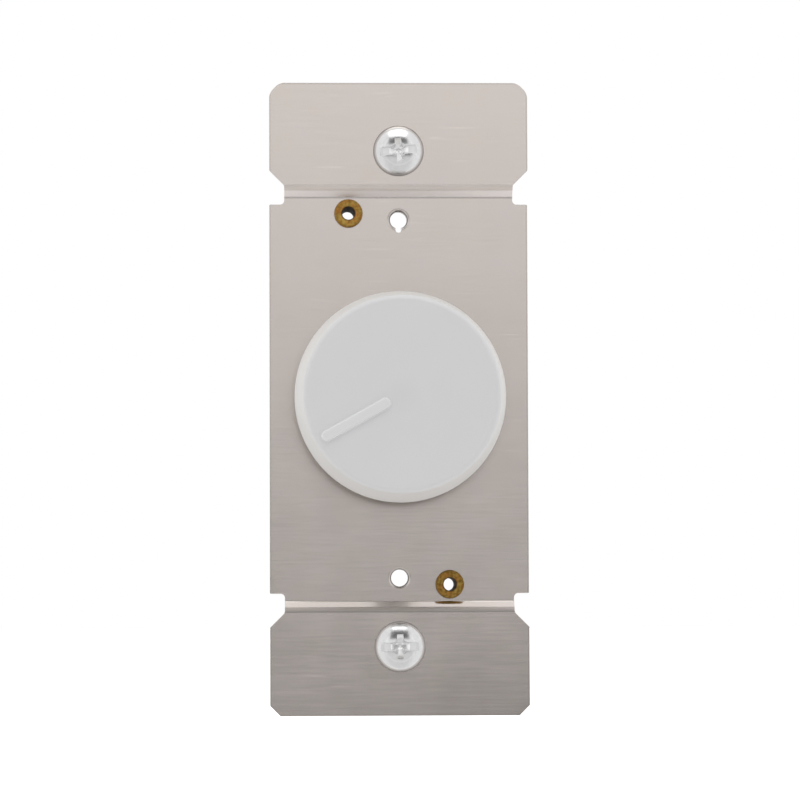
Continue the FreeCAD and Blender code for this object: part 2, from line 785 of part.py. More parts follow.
def build_shaft():
    """Turned shaft with a ring groove, a thinner tail for the carrier and cam, and a flat at the knob."""
    ring_back = -of("bushing_head_height") - of("ring_gap")
    ring_front = ring_back - of("ring_thickness")
    front = -of("shaft_front")
    chamfer = of("shaft_chamfer")
    neck = plate_back + of("bushing_flange_thickness")
    tail_end = cam_front + of("cam_thickness") + of("carrier_gap")
    body = turned_body("control_shaft", [
        (as_size(0.0), front), (of("shaft_radius") - chamfer, front), (of("shaft_radius"), front + chamfer),
        (of("shaft_radius"), ring_front), (of("ring_groove_radius"), ring_front),
        (of("ring_groove_radius"), ring_back), (of("shaft_radius"), ring_back),
        (of("shaft_radius"), neck), (of("shaft_tail_radius"), neck),
        (of("shaft_tail_radius"), tail_end), (as_size(0.0), tail_end)])
    flat = start_sketch(body, "XZ_Plane", "flat", of("shaft_front"))
    radius = of("shaft_radius")
    outside = radius + PAST
    add_rectangle(flat, -outside, -outside, outside, -(radius - of("shaft_flat_depth")))
    pocket(body, flat, of("shaft_flat_length"))
    place(body, turn=knob_turned)
    return body


def build_ring():
    """Open spring ring in the shaft's groove, in front of the bushing."""
    back = -of("bushing_head_height") - of("ring_gap")
    front = back - of("ring_thickness")
    inner = of("ring_groove_radius") + of("part_fit")
    body = turned_body("shaft_retaining_ring", [(inner, front), (of("ring_radius"), front),
                                                (of("ring_radius"), back), (inner, back)])
    gap = start_sketch(body, "XZ_Plane", "gap", -front)
    mouth = of("ring_mouth") / 2
    add_rectangle(gap, -mouth, 0.0, mouth, of("ring_radius") + PAST)
    pocket(body, gap, of("ring_thickness"))
    place(body, turn=knob_turned)
    return body


def build_knob():
    """Moulded cup with a hub, ribs, a D bore and a raised pointer on its face."""
    wall = of("knob_wall")
    under = knob_face + wall
    base, face = of("knob_base_radius"), of("knob_face_radius")
    hub_end = under + of("knob_hub_length")
    body = turned_body("knob", [
        (as_size(0.0), knob_face), (face, knob_face), (base, knob_base), (base - wall, knob_base),
        (face - wall, under), (of("knob_hub_radius"), under), (of("knob_hub_radius"), hub_end),
        (as_size(0.0), hub_end)])

    ribs = start_sketch(body, "XZ_Plane", "rib", -(under - BITE))
    rib_half = of("knob_rib_thickness") / 2
    add_rectangle(ribs, of("knob_hub_radius") - BITE, -rib_half, face - wall + BITE, rib_half)
    rib_pad = pad(body, ribs, of("knob_hub_length") - of("knob_rib_setback"))
    doc.recompute()
    pattern = body.newObject("PartDesign::PolarPattern", "knob_ribs")
    pattern.Originals = [rib_pad]
    pattern.Axis = (ribs, ["N_Axis"])
    pattern.Angle = 360.0
    pattern.Occurrences = 6
    body.Tip = pattern

    blend_edges(body, "Fillet", "rim", lambda e: circle_at(e, face, knob_face), Radius=of("knob_edge_fillet"))

    pointer = start_sketch(body, "XZ_Plane", "pointer", -(knob_face + BITE))
    pointer_half = of("pointer_width") / 2
    add_slot(pointer, "y", of("pointer_inner") + pointer_half, of("pointer_outer") - pointer_half, pointer_half)
    pad(body, pointer, of("pointer_rise") + BITE, towards_wall=False)

    bore = start_sketch(body, "XZ_Plane", "bore", -hub_end)
    add_circle(bore, 0.0, 0.0, of("shaft_radius") + of("bore_clearance"))
    pocket(body, bore, hub_end + of("shaft_front") + of("bore_clearance"), towards_wall=False)
    flat = start_sketch(body, "XZ_Plane", "flat", -hub_end)
    flat_low = -(of("shaft_radius") + BITE)
    flat_high = -(of("shaft_radius") - of("shaft_flat_depth") + of("bore_clearance") + of("clip_thickness"))
    add_rectangle(flat, -of("shaft_radius"), flat_low, of("shaft_radius"), flat_high)
    pad(body, flat, hub_end + of("shaft_front") + BITE, towards_wall=False)
    place(body, turn=knob_turned)
    return body


def build_clip():
    """Flat spring between the shaft's flat and the flat side of the knob's bore."""
    body = make_body("knob_spring_clip")
    low = -(of("shaft_radius") - of("shaft_flat_depth") + of("bore_clearance") + of("clip_thickness"))
    leaf = start_sketch(body, "XZ_Plane", "leaf", of("shaft_front"))
    half = of("clip_width") / 2
    add_rectangle(leaf, -half, low, half, low + of("clip_thickness"))
    pad(body, leaf, of("clip_length"))
    place(body, turn=knob_turned)
    return body


def ring_sector(label, inner, outer, front, back, half_angle, centre_angle):
    """A flat ring piece between two radii, cut to an angle, its middle at a clock angle."""
    body = turned_body(label, [(inner, front), (outer, front), (outer, back), (inner, back)])
    body.Tip.Angle = 90.0
    bind(body.Tip, Angle=half_angle * 2)
    place(body, turn=-(half_angle + centre_angle))
    return body


def build_pot_case():
    """Drawn cup with a stop in its floor, a gap for the wafer's tongue and three hooked lugs."""
    sheet_size = of("pot_sheet")
    floor_front = plate_back
    inner_hole = of("bushing_flange_radius") + of("part_fit")
    body = turned_body("potentiometer_case", [
        (inner_hole, floor_front), (of("pot_radius"), floor_front), (of("pot_radius"), pot_back),
        (pot_inner, pot_back), (pot_inner, floor_front + sheet_size), (inner_hole, floor_front + sheet_size)])
    gap = start_sketch(body, "XZ_Plane", "tongue_gap", -wafer_front)
    gap_half = of("wafer_tongue_width") / 2 + of("part_fit")
    add_rectangle(gap, -gap_half, -(of("pot_radius") + PAST), gap_half, -of("carrier_radius"))
    pocket(body, gap, of("wafer_thickness") + PAST)

    lug = start_sketch(body, "XZ_Plane", "lug", -(pot_back - BITE))
    half = of("pot_lug_width") / 2
    lug_top = of("pot_radius") - of("part_fit")
    add_rectangle(lug, -half, pot_inner + of("part_fit"), half, lug_top)
    lug_pad = pad(body, lug, of("switch_depth") + sheet_size + BITE)
    hook = start_sketch(body, "XZ_Plane", "lug_hook", -switch_back)
    add_rectangle(hook, -half, pot_inner - of("pot_lug_hook"), half, lug_top)
    hook_pad = pad(body, hook, sheet_size)
    doc.recompute()
    pattern = body.newObject("PartDesign::PolarPattern", "pot_lugs")
    pattern.Originals = [lug_pad, hook_pad]
    pattern.Axis = (lug, ["N_Axis"])
    pattern.Angle = 360.0
    pattern.Occurrences = 3
    body.Tip = pattern

    stop_front = floor_front + sheet_size - BITE
    stop = start_sketch(body, "XZ_Plane", "stop", -stop_front)
    add_sector(stop, of("stop_inner_radius"), pot_inner + BITE, of("stop_half_angle"), stop_angle)
    pad(body, stop, of("stop_height"))
    return body


def build_wafer():
    body = make_body("potentiometer_wafer")
    disc = start_sketch(body, "XZ_Plane", "disc", -wafer_front)
    add_circle(disc, 0.0, 0.0, pot_inner - of("part_fit"))
    pad(body, disc, of("wafer_thickness"))
    tongue = start_sketch(body, "XZ_Plane", "tongue", -wafer_front)
    half = of("wafer_tongue_width") / 2
    add_rectangle(tongue, -half, -of("wafer_tongue_reach"), half, -of("carrier_radius"))
    pad(body, tongue, of("wafer_thickness"))
    hole = start_sketch(body, "XZ_Plane", "hole", -wafer_front)
    add_circle(hole, 0.0, 0.0, of("wafer_hole_radius"))
    pocket(body, hole, of("wafer_thickness"))
    return body


def build_track():
    half_angle = 180 - of("track_gap_angle") / 2
    return ring_sector("resistance_track", of("track_inner_radius"), of("track_outer_radius"),
                       wafer_front - of("track_thickness"), wafer_front, half_angle, as_size(90.0))


def build_pot_terminal(label, step):
    """Flat tag on the wafer's tongue, bent back to the board."""
    thickness = of("terminal_thickness")
    leg = of("wafer_tongue_reach") + of("terminal_gap")
    body = make_body(label)
    bent = start_sketch(body, "YZ_Plane", "bent")
    start = of("pot_radius") + of("terminal_gap")
    add_outline(bent, [(pot_back, -start),
                       (pot_back, -(leg + thickness)),
                       (pin_end, -(leg + thickness)),
                       (pin_end, -leg),
                       (pot_back + thickness, -leg),
                       (pot_back + thickness, -start)])
    pad(body, bent, of("terminal_width"), both_ways=True)
    place(body, x=step * of("terminal_spacing"))
    return body


def build_carrier():
    """Moulded disc on the shaft, with the tab that meets the stop."""
    front = plate_back + of("bushing_flange_thickness") + of("carrier_gap")
    back = front + of("carrier_thickness")
    body = turned_body("wiper_carrier", [
        (of("shaft_tail_radius") + of("part_fit"), front), (of("carrier_radius"), front),
        (of("carrier_radius"), back), (of("shaft_tail_radius") + of("part_fit"), back)])
    tab = start_sketch(body, "XZ_Plane", "tab", -front)
    add_sector(tab, of("carrier_tab_root"), of("carrier_tab_radius"), carrier_half_angle, as_size(90.0))
    pad(body, tab, of("carrier_thickness"))
    place(body, turn=knob_turned)
    return body


def build_finger():
    """Two-ended spring finger from the carrier's back to just short of the track."""
    start = plate_back + of("bushing_flange_thickness") + of("carrier_gap") + of("carrier_thickness")
    tip = wafer_front - of("track_thickness") - of("finger_track_gap")
    thickness = of("finger_thickness")
    inner, outer = of("finger_inner"), of("finger_outer")
    body = make_body("wiper_contact")
    bent = start_sketch(body, "YZ_Plane", "bent")
    foot = of("finger_foot")
    skew = of("finger_skew")
    add_outline(bent, [(start, inner - foot), (start, inner + skew), (tip - thickness, outer),
                       (tip - thickness, outer + foot), (tip, outer + foot), (tip, outer - skew),
                       (start + thickness, inner), (start + thickness, inner - foot)])
    pad(body, bent, of("finger_width"), both_ways=True)
    place(body, turn=knob_turned)
    return body


def build_switch_base():
    """Moulded cup behind the wafer, with side gaps for its two tags."""
    outer = pot_inner - of("part_fit")
    inner = outer - of("switch_wall")
    floor = switch_back - of("switch_wall")
    body = turned_body("switch_base", [
        (as_size(0.0), floor), (inner, floor), (inner, pot_back), (outer, pot_back),
        (outer, switch_back), (as_size(0.0), switch_back)])
    gaps = start_sketch(body, "XZ_Plane", "tag_gaps", -pot_back)
    clear = of("part_fit")
    low = of("blade_height")
    high = low + of("blade_thickness")
    gap_start = of("cam_radius")
    add_rectangle(gaps, gap_start, low - clear, outer + PAST, high + clear)
    post_low = contact_level()
    add_rectangle(gaps, -(outer + PAST), post_low - clear, -gap_start,
                  post_low + of("blade_thickness") + clear)
    pocket(body, gaps, floor - pot_back)
    return body


def tag_piece(label, strip_inner, outer, low):
    """A flat strip on edge, from inside the switch to a tag that goes back to the board."""
    high = low + of("blade_thickness")
    inward = of("blade_thickness") if outer.number < 0 else -of("blade_thickness")
    body = make_body(label)
    strip = start_sketch(body, "XZ_Plane", "strip", -cam_front)
    add_rectangle(strip, strip_inner, low, outer, high)
    pad(body, strip, of("blade_width"))
    tag = start_sketch(body, "XZ_Plane", "tag", -cam_front)
    add_rectangle(tag, outer + inward, high - of("tag_width"), outer, high)
    pad(body, tag, pin_end - cam_front)
    return body


def contact_level():
    return of("blade_height") - of("contact_gap") - of("blade_thickness")


def build_switch_blade():
    return tag_piece("switch_blade", -of("blade_reach"), of("tag_offset"), of("blade_height"))


def build_fixed_contact():
    inner_end = of("blade_reach") - of("contact_post")
    return tag_piece("switch_fixed_contact", -inner_end, -of("tag_offset"), contact_level())


def build_cam():
    inner = of("shaft_tail_radius") + of("part_fit")
    back = cam_front + of("cam_thickness")
    body = turned_body("switch_cam", [(inner, cam_front), (of("cam_radius"), cam_front),
                                      (of("cam_radius"), back), (inner, back)])
    lobe = start_sketch(body, "XZ_Plane", "lobe", -cam_front)
    half = of("cam_lobe_width") / 2
    root_half = of("cam_lobe_root_width") / 2
    root = of("cam_lobe_root_radius")
    add_outline(lobe, [(-root_half, root), (-half, of("cam_lobe_radius")),
                       (half, of("cam_lobe_radius")), (root_half, root)])
    pad(body, lobe, of("cam_thickness"))
    return body


def build_board():
    body = make_body("circuit_board")
    outline = start_sketch(body, "XZ_Plane", "outline", -board_front)
    half, reach = of("board_width") / 2, of("board_height") / 2
    add_rectangle(outline, -half, -reach, half, reach)
    pad(body, outline, of("board_thickness"))
    blend_edges(body, "Fillet", "corners", lambda e: runs_along(e, "y"), Radius=of("board_corner"))
    holes = start_sketch(body, "XZ_Plane", "holes", -board_front)
    clear = of("board_hole_clearance")
    leg = of("wafer_tongue_reach") + of("terminal_gap")
    width = of("terminal_width") / 2 + clear
    for step in (-1, 0, 1):
        middle = step * of("terminal_spacing")
        add_rectangle(holes, middle - width, -(leg + of("terminal_thickness") + clear),
                      middle + width, -(leg - clear))
    tag, thick = of("tag_offset"), of("blade_thickness")
    for sign, level in ((1, of("blade_height")), (-1, contact_level())):
        add_rectangle(holes, sign * (tag - thick - clear), level + thick - of("tag_width") - clear,
                      sign * (tag + clear), level + thick + clear)
    for x, z in lead_places():
        add_circle(holes, x, z, of("lead_radius") + clear)
    pocket(body, holes, of("board_thickness"))
    slots = start_sketch(body, "XZ_Plane", "triac_slots", -board_front)
    lead_x, lead_half = triac_lead_place()
    for step in (-1, 0, 1):
        middle = step * of("triac_lead_spacing") - of("triac_drop")
        add_rectangle(slots, lead_x - clear, middle - lead_half - clear,
                      lead_x + of("triac_lead_thickness") + clear, middle + lead_half + clear)
    pocket(body, slots, of("board_thickness"))
    return body


def triac_lead_place():
    body_end = of("triac_hole_x") + of("triac_body_start") + of("triac_body_length")
    return body_end + of("triac_lead_run"), of("triac_lead_width") / 2


def lead_places():
    """Where round leads go through the board: capacitors, choke and the three small parts."""
    places = []
    for kind in ("noise_capacitor", "timing_capacitor"):
        for sign in (1, -1):
            places.append((of(f"{kind}_x") + sign * capacitor_lead_x(kind), of(f"{kind}_z")))
    for sign in (1, -1):
        places.append((of("choke_x") + sign * choke_lead_x(), of("choke_z")))
        for row in range(3):
            places.append((of("small_part_x") + sign * of("small_lead_span") / 2, small_part_row(row)))
    return places


def capacitor_lead_x(kind):
    return of(f"{kind}_length") / 2 - of(f"{kind}_lead_inset")


def choke_lead_x():
    return of("choke_core_radius") + of("choke_gap") + of("choke_wire") / 2


def build_triac():
    """Flat metal tab with a moulded body and three leads bent back to the board."""
    front = plate_back + of("insulator_thickness")
    half = of("triac_width") / 2
    start = of("triac_hole_x") - of("triac_tab_edge")
    body_start = of("triac_hole_x") + of("triac_body_start")
    body_end = body_start + of("triac_body_length")
    middle = -of("triac_drop")
    body = make_body("triac")
    tab = start_sketch(body, "XZ_Plane", "tab", -front)
    add_rectangle(tab, start, middle - half, body_start + BITE, middle + half)
    add_circle(tab, of("triac_hole_x"), middle, of("triac_hole_radius"))
    pad(body, tab, of("triac_tab_thickness"))
    block = start_sketch(body, "XZ_Plane", "block", -front)
    add_rectangle(block, body_start, middle - half, body_end, middle + half)
    pad(body, block, of("triac_body_thickness"))
    blend_edges(body, "Chamfer", "body_edge",
                lambda e: near(e.CenterOfMass.y, front + of("triac_body_thickness")),
                Size=of("triac_chamfer"))
    lead_x, lead_half = triac_lead_place()
    level = front + of("triac_body_thickness") / 2
    thickness = of("triac_lead_thickness")
    for index, step in enumerate((-1, 0, 1)):
        leads = start_sketch(body, "XZ_Plane", f"lead{index}", -level)
        centre = middle + step * of("triac_lead_spacing")
        add_rectangle(leads, body_end - BITE, centre - lead_half, lead_x + thickness, centre + lead_half)
        pad(body, leads, thickness)
        legs = start_sketch(body, "XZ_Plane", f"leg{index}", -level)
        add_rectangle(legs, lead_x, centre - lead_half, lead_x + thickness, centre + lead_half)
        pad(body, legs, pin_end - level)
    return body


def build_insulator():
    margin = of("insulator_margin")
    half = of("triac_width") / 2 + margin
    start = of("triac_hole_x") - of("triac_tab_edge") - margin
    end = of("triac_hole_x") + of("triac_body_start") + of("triac_body_length") + margin
    body = make_body("triac_insulator")
    film = start_sketch(body, "XZ_Plane", "film", -plate_back)
    high = -of("triac_drop") + of("triac_width") / 2
    add_rectangle(film, start, -of("triac_drop") - half, end, high)
    add_circle(film, of("triac_hole_x"), -of("triac_drop"), of("triac_hole_radius"))
    pad(body, film, of("insulator_thickness"))
    return body


def build_triac_rivet():
    back = plate_back + of("insulator_thickness") + of("triac_tab_thickness")
    height = of("triac_rivet_head_height")
    head, shank = of("triac_rivet_head_radius"), of("triac_rivet_radius")
    body = turned_body("triac_rivet", [
        (as_size(0.0), -height), (head - height / 2, -height), (head, -height / 2), (head, as_size(0.0)),
        (shank, as_size(0.0)), (shank, back), (head, back), (head, back + height / 2),
        (head - height / 2, back + height), (as_size(0.0), back + height)])
    place(body, x=of("triac_hole_x"), z=-of("triac_drop"))
    return body


def choke_back():
    return board_front - of("choke_wire") - of("choke_gap") * 2


def build_choke_core():
    back = choke_back()
    front = back - of("choke_core_height")
    body = turned_body("choke_core", [
        (of("choke_hole_radius"), front), (of("choke_core_radius"), front),
        (of("choke_core_radius"), back), (of("choke_hole_radius"), back)])
    place(body, x=of("choke_x"), z=of("choke_z"))
    return body


def build_choke_winding():
    """Wire turns round the ring core, each a closed loop, and two ends through the board."""
    wire, gap = of("choke_wire").number, of("choke_gap").number
    back = choke_back().number + gap
    front = back - of("choke_core_height").number - 2 * gap
    inner = of("choke_hole_radius").number - gap
    outer = of("choke_core_radius").number + gap
    loop = Part.makeBox(outer - inner + 2 * wire, back - front + 2 * wire, wire,
                        Vector(inner - wire, front - wire, -wire / 2))
    window = Part.makeBox(outer - inner, back - front, wire * 2, Vector(inner, front, -wire))
    loop = loop.cut(window)
    solids = []
    turns = int(of("choke_turns").number)
    for index in range(turns):
        turned = loop.copy()
        turned.rotate(Vector(), Vector(0, 1, 0), 360 / turns * index)
        solids.append(turned)
    for sign in (1, -1):
        radius = of("lead_radius").number
        end = Part.makeCylinder(radius, pin_end.number - back - wire,
                                Vector(sign * choke_lead_x().number, back + wire, 0), Vector(0, 1, 0))
        solids.append(end)
    shape = solids[0].multiFuse(solids[1:])
    winding = doc.addObject("Part::Feature", "choke_winding")
    winding.Label = "choke_winding"
    winding.Shape = shape
    place(winding, x=of("choke_x"), z=of("choke_z"))
    return winding


def build_capacitor(kind):
    """Box film capacitor standing on the board, with two leads."""
    length, thickness = of(f"{kind}_length"), of(f"{kind}_thickness")
    height = of(f"{kind}_height")
    body = make_body(kind)
    block = start_sketch(body, "XZ_Plane", "block", -(board_front - height))
    add_rectangle(block, -length / 2, -thickness / 2, length / 2, thickness / 2)
    pad(body, block, height)
    blend_edges(body, "Fillet", "edges", lambda e: e.CenterOfMass.y < board_front.number - BITE,
                Radius=of("capacitor_corner"))
    leads = start_sketch(body, "XZ_Plane", "leads", -board_front)
    for sign in (1, -1):
        add_circle(leads, sign * capacitor_lead_x(kind), 0.0, of("lead_radius"))
    pad(body, leads, pin_end - board_front)
    place(body, x=of(f"{kind}_x"), z=of(f"{kind}_z"))
    return body


def build_axial_part(label, radius, length, row):
    """Small barrel lying on the board, its wire bent at both ends to go through it."""
    z = small_part_row(row)
    level = board_front - radius
    half_span = of("small_lead_span") / 2

    def rod(name, rod_radius, rod_length, x, towards):
        cylinder = doc.addObject("Part::Cylinder", f"{label}_{name}")
        bind(cylinder, Radius=rod_radius, Height=rod_length)
        cylinder.Placement = FreeCAD.Placement(Vector(), FreeCAD.Rotation(Vector(0, 0, 1), towards))
        bind(cylinder, Placement__Base__x=x, Placement__Base__y=level, Placement__Base__z=z)
        return cylinder

    along_x, along_y = Vector(1, 0, 0), Vector(0, 1, 0)
    middle = of("small_part_x")
    pieces = [rod("barrel", radius, length, middle - length / 2, along_x),
              rod("wire", of("lead_radius"), half_span * 2, middle - half_span, along_x)]
    for side, x in (("left", middle - half_span), ("right", middle + half_span)):
        pieces.append(rod(f"{side}_leg", of("lead_radius"), pin_end - level, x, along_y))
        elbow = doc.addObject("Part::Sphere", f"{label}_{side}_elbow")
        bind(elbow, Radius=of("lead_radius"), Placement__Base__x=x, Placement__Base__y=level,
             Placement__Base__z=z)
        pieces.append(elbow)
    fused = doc.addObject("Part::MultiFuse", label)
    fused.Label = label
    fused.Shapes = pieces
    return fused


def small_part_row(row):
    return of("small_part_z") - row * of("small_part_pitch")


parts = [build_strap(), build_housing()]
parts += [build_eyelet("upper_eyelet", 1), build_eyelet("lower_eyelet", -1)]
parts += [build_mounting_screw("upper_mounting_screw", 1, of("upper_recess_angle")),
          build_mounting_screw("lower_mounting_screw", -1, of("lower_recess_angle"))]
parts += [build_washer("upper_retaining_washer", 1), build_washer("lower_retaining_washer", -1)]
parts += [build_bushing(), build_shaft(), build_ring(), build_knob(), build_clip()]
parts += [build_pot_case(), build_wafer(), build_track()]
for name, step in (("left", -1), ("middle", 0), ("right", 1)):
    parts.append(build_pot_terminal(f"{name}_potentiometer_terminal", step))
parts += [build_carrier(), build_finger(), build_switch_base(), build_switch_blade()]
parts += [build_fixed_contact(), build_cam(), build_board()]
parts += [build_triac(), build_insulator(), build_triac_rivet()]
parts += [build_choke_core(), build_choke_winding()]
parts += [build_capacitor("noise_capacitor"), build_capacitor("timing_capacitor")]
parts.append(build_axial_part("timing_resistor", of("resistor_radius"), of("resistor_length"), 0))
parts.append(build_axial_part("trim_resistor", of("resistor_radius"), of("resistor_length"), 1))
parts.append(build_axial_part("diac", of("diac_radius"), of("diac_length"), 2))

doc.recompute()
for item in doc.Objects:
    assert not {"Invalid", "Error"} & set(item.State), f"{item.Name}: {item.State}"
for part in parts:
    assert not part.Shape.isNull() and part.Shape.isValid(), part.Label
    assert part.Shape.Volume > 0, part.Label

os.makedirs("parts", exist_ok=True)
for part in parts:
    part.Shape.exportStep(f"parts/{part.Label}.step")
print(len(parts), "sub-parts written")
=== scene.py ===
"""Looks of the rotary dimmer switch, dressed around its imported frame.

X is right, Y goes into the wall and Z is up, as in the frame. Blender works in metres. The named sizes
are in millimetres, and MM turns them into metres.
"""
import json
import math
import bmesh
import bpy
from mathutils import Matrix, Vector


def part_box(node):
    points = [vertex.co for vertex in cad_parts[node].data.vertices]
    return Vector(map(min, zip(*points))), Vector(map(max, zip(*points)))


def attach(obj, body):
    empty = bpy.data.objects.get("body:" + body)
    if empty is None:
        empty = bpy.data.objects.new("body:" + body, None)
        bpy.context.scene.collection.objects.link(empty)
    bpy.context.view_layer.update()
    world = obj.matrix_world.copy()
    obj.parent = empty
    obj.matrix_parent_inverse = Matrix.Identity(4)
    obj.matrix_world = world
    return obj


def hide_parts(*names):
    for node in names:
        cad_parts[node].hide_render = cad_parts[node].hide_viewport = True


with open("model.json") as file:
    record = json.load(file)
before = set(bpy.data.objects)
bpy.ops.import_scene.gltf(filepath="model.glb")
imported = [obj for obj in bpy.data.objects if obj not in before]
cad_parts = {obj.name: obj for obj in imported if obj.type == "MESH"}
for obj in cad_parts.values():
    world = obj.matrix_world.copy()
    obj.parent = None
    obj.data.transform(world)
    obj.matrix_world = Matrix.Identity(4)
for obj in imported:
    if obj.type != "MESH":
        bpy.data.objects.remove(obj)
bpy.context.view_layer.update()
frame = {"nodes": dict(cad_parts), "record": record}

MM = 0.001
UP = Vector((0, 0, 1))
INTO_WALL = Vector((0, 1, 0))
CENTRE = (0, 0, 0)


# Sizes of the strap

strap_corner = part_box("mounting_strap")[1]
HALF_WIDTH = strap_corner.x / MM
REACH = strap_corner.z / MM
SHEET = 1.27
PLATE_REACH = 32.75
HALF_NECK = HALF_WIDTH - 2.5
NECK_REACH = 35.9
EAR_CORNER = 1.7
OUTER_CORNER_CUT = 0.2
NECK_START_CUT = 0.7
NECK_END_CUT = 0.3
UPPER_EAR_CUT = 0.8
LOWER_EAR_CUT = 0.08
EDGE_BREAK = 0.14
RIM_ANGLE = math.degrees(1.2)
JOGGLE_START = 34.05
JOGGLE_END = 35.39
EAR_RISE = SHEET
INSIDE_BEND = 0.25
INSIDE_BEND_STEPS = 5
OUTSIDE_BEND = 1.26
OUTSIDE_BEND_STEPS = 12
BEND_ANGLE = math.atan2(EAR_RISE, JOGGLE_END - JOGGLE_START)
BACK_SHIFT = SHEET * math.tan(BEND_ANGLE / 2)
PLATE_SCREW_Z = 30.1625
TAPPED_RADIUS = 1.42
TAPPED_MOUTH_CUT = 0.5
COLLAR_FOOT = 2.6
COLLAR_RADIUS = 2.4
COLLAR_LENGTH = 1.1
COLLAR_FOOT_CUT = 0.2
COLLAR_RIM_CUT = 0.3
COLLAR_MOUTH_CUT = 0.12
NOTCH_RADIUS = 0.5
NOTCH_REACH = 0.75
NOTCH_START = -1
NOTCH_DEPTH = 5
NOTCH_STEPS = 32
MOUNT_Z = 41.67
MOUNT_SLOT_HALF = 1.45
MOUNT_SLOT_RADIUS = 2.05
BUSHING_HOLE = 4.55
RIVET_HOLE = (-1.5, -14.4, 1.55)
EYELET_X = 8.43
EYELET_Z = 31.23
EYELET_HOLE = 1.5

# Sizes of the knob

KNOB_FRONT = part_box("knob")[0].y / MM
KNOB_DEPTH = 10.0
KNOB_TAPER = 1.37
KNOB_WALL = 1.8
KNOB_FACE_CUT = 0.85
KNOB_BASE_CUT = 0.25
KNOB_INSIDE_CUT = 0.8
HUB_RADIUS = 5.0
HUB_BORE = 3.05
HUB_LENGTH = 5
HUB_FLOOR = 0.2
HUB_FOOT_CUT = 0.4
HUB_END_CUT = 0.2
RIB_COUNT = 6
RIB_START = 4.75
RIB_OVERLAP = 0.15
RIB_DEPTH = 2.7
RIB_SINK = 0.1
RIB_THICKNESS = 1.2
RIB_EDGE_BREAK = 0.15
POINTER_TURN = math.pi / 2 - math.radians(209.0)
POINTER_HALF_WIDTH = 0.825
POINTER_INNER = 2.4
POINTER_OUTER = 15.1
POINTER_STEPS = 48
POINTER_SECTION = ((0.34, -0.02), (0.2, 0.02), (0.09, 0.09), (0.03, 0.19), (0.0, 0.3),
                   (-0.03, 0.4), (-0.1, 0.47), (-0.2, 0.5))

# Sizes of the eyelets

EYELET_BORE = 1.05
EYELET_BORE_SEAM = 0.6
EYELET_TUBE = 1.45
EYELET_FLANGE = 2.4
EYELET_SEAT = -0.02
EYELET_CURL = 2.1
EYELET_CURL_DEPTH = 0.45
EYELET_DISH = 0.05
EYELET_MOUTH_CUT = 0.28
EYELET_FRONT_CUT = 0.3
EYELET_SEAT_CUT = 0.12
EYELET_CURL_CUT = 0.1
EYELET_BACK_CUT = 0.18
EYELET_END_CUT = 0.2

# Sizes of the mounting screws

HEAD_RADIUS = 4.3
HEAD_HEIGHT = 2.1
HEAD_EDGE = 0.55
HEAD_SHOULDER = 4.04
HEAD_SHOULDER_CUT = 0.22
HEAD_RIM_CUT = 0.08
HEAD_BREAK = 0.06
RECESS_ANGLE = 38
DOME_REACH = 3.72
DOME_STEPS = 14
CROSS_DEPTH = 1.8
CROSS_LIFT = 0.4
CROSS_ARM = 2.45
CROSS_HALF = 0.6
CROSS_END_ARM = 0.4
CROSS_END_HALF = 0.28
CONE_LIFT = 0.3
CONE_MOUTH = 1.42
CONE_END = 0.85
CONE_DEPTH = 1.4
CONE_TIP = 1.9
HEAD_SLOT_LENGTH = 12
HEAD_SLOT_WIDTH = 1.4
HEAD_SLOT_DEPTH = 0.7
HEAD_SLOT_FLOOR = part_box("upper_mounting_screw")[0].y / MM + HEAD_SLOT_DEPTH
THREAD_RADIUS = 1.75
THREAD_CREST = THREAD_RADIUS - 0.01
THREAD_ROOT = 1.33
THREAD_STEPS = 24
FLANK_START, CREST_START, CREST_END, FLANK_END = 0.14, 0.47, 0.6, 0.93
PITCH = 25.4 / 32
NECK_RADIUS = THREAD_RADIUS - 0.05
NECK_LENGTH = 2.0
NECK_SINK = 0.1
NECK_TAPER = (1.6, 2.2)
CORE_RADIUS = THREAD_ROOT + 0.02
POINT_RADIUS = 0.85
POINT_LENGTH = 0.9
POINT_TAPER = 0.5
POINT_CUT = 0.1

# Steps round a turned piece

SMALL_STEPS = 64
KNOB_STEPS = 192
HEAD_STEPS = 96
SHANK_STEPS = 48

# How near two vertices lie when they are made one, in metres

FINE = 1e-8
NEAR = 1e-7
COARSE = 1e-6


# Shader maths

class Wire:
    """A shader socket. Arithmetic on it adds Math nodes."""

    def __init__(self, finish, socket):
        self.finish = finish
        self.socket = socket

    def math(self, operation, first, second):
        return self.finish.add("ShaderNodeMath", {0: first, 1: second}, operation=operation)

    def __add__(self, other):
        return self.math("ADD", self, other)

    def __radd__(self, other):
        return self.math("ADD", other, self)

    def __sub__(self, other):
        return self.math("SUBTRACT", self, other)

    def __rsub__(self, other):
        return self.math("SUBTRACT", other, self)

    def __mul__(self, other):
        return self.math("MULTIPLY", self, other)

    def __rmul__(self, other):
        return self.math("MULTIPLY", other, self)

    def __pow__(self, other):
        return self.math("POWER", self, other)


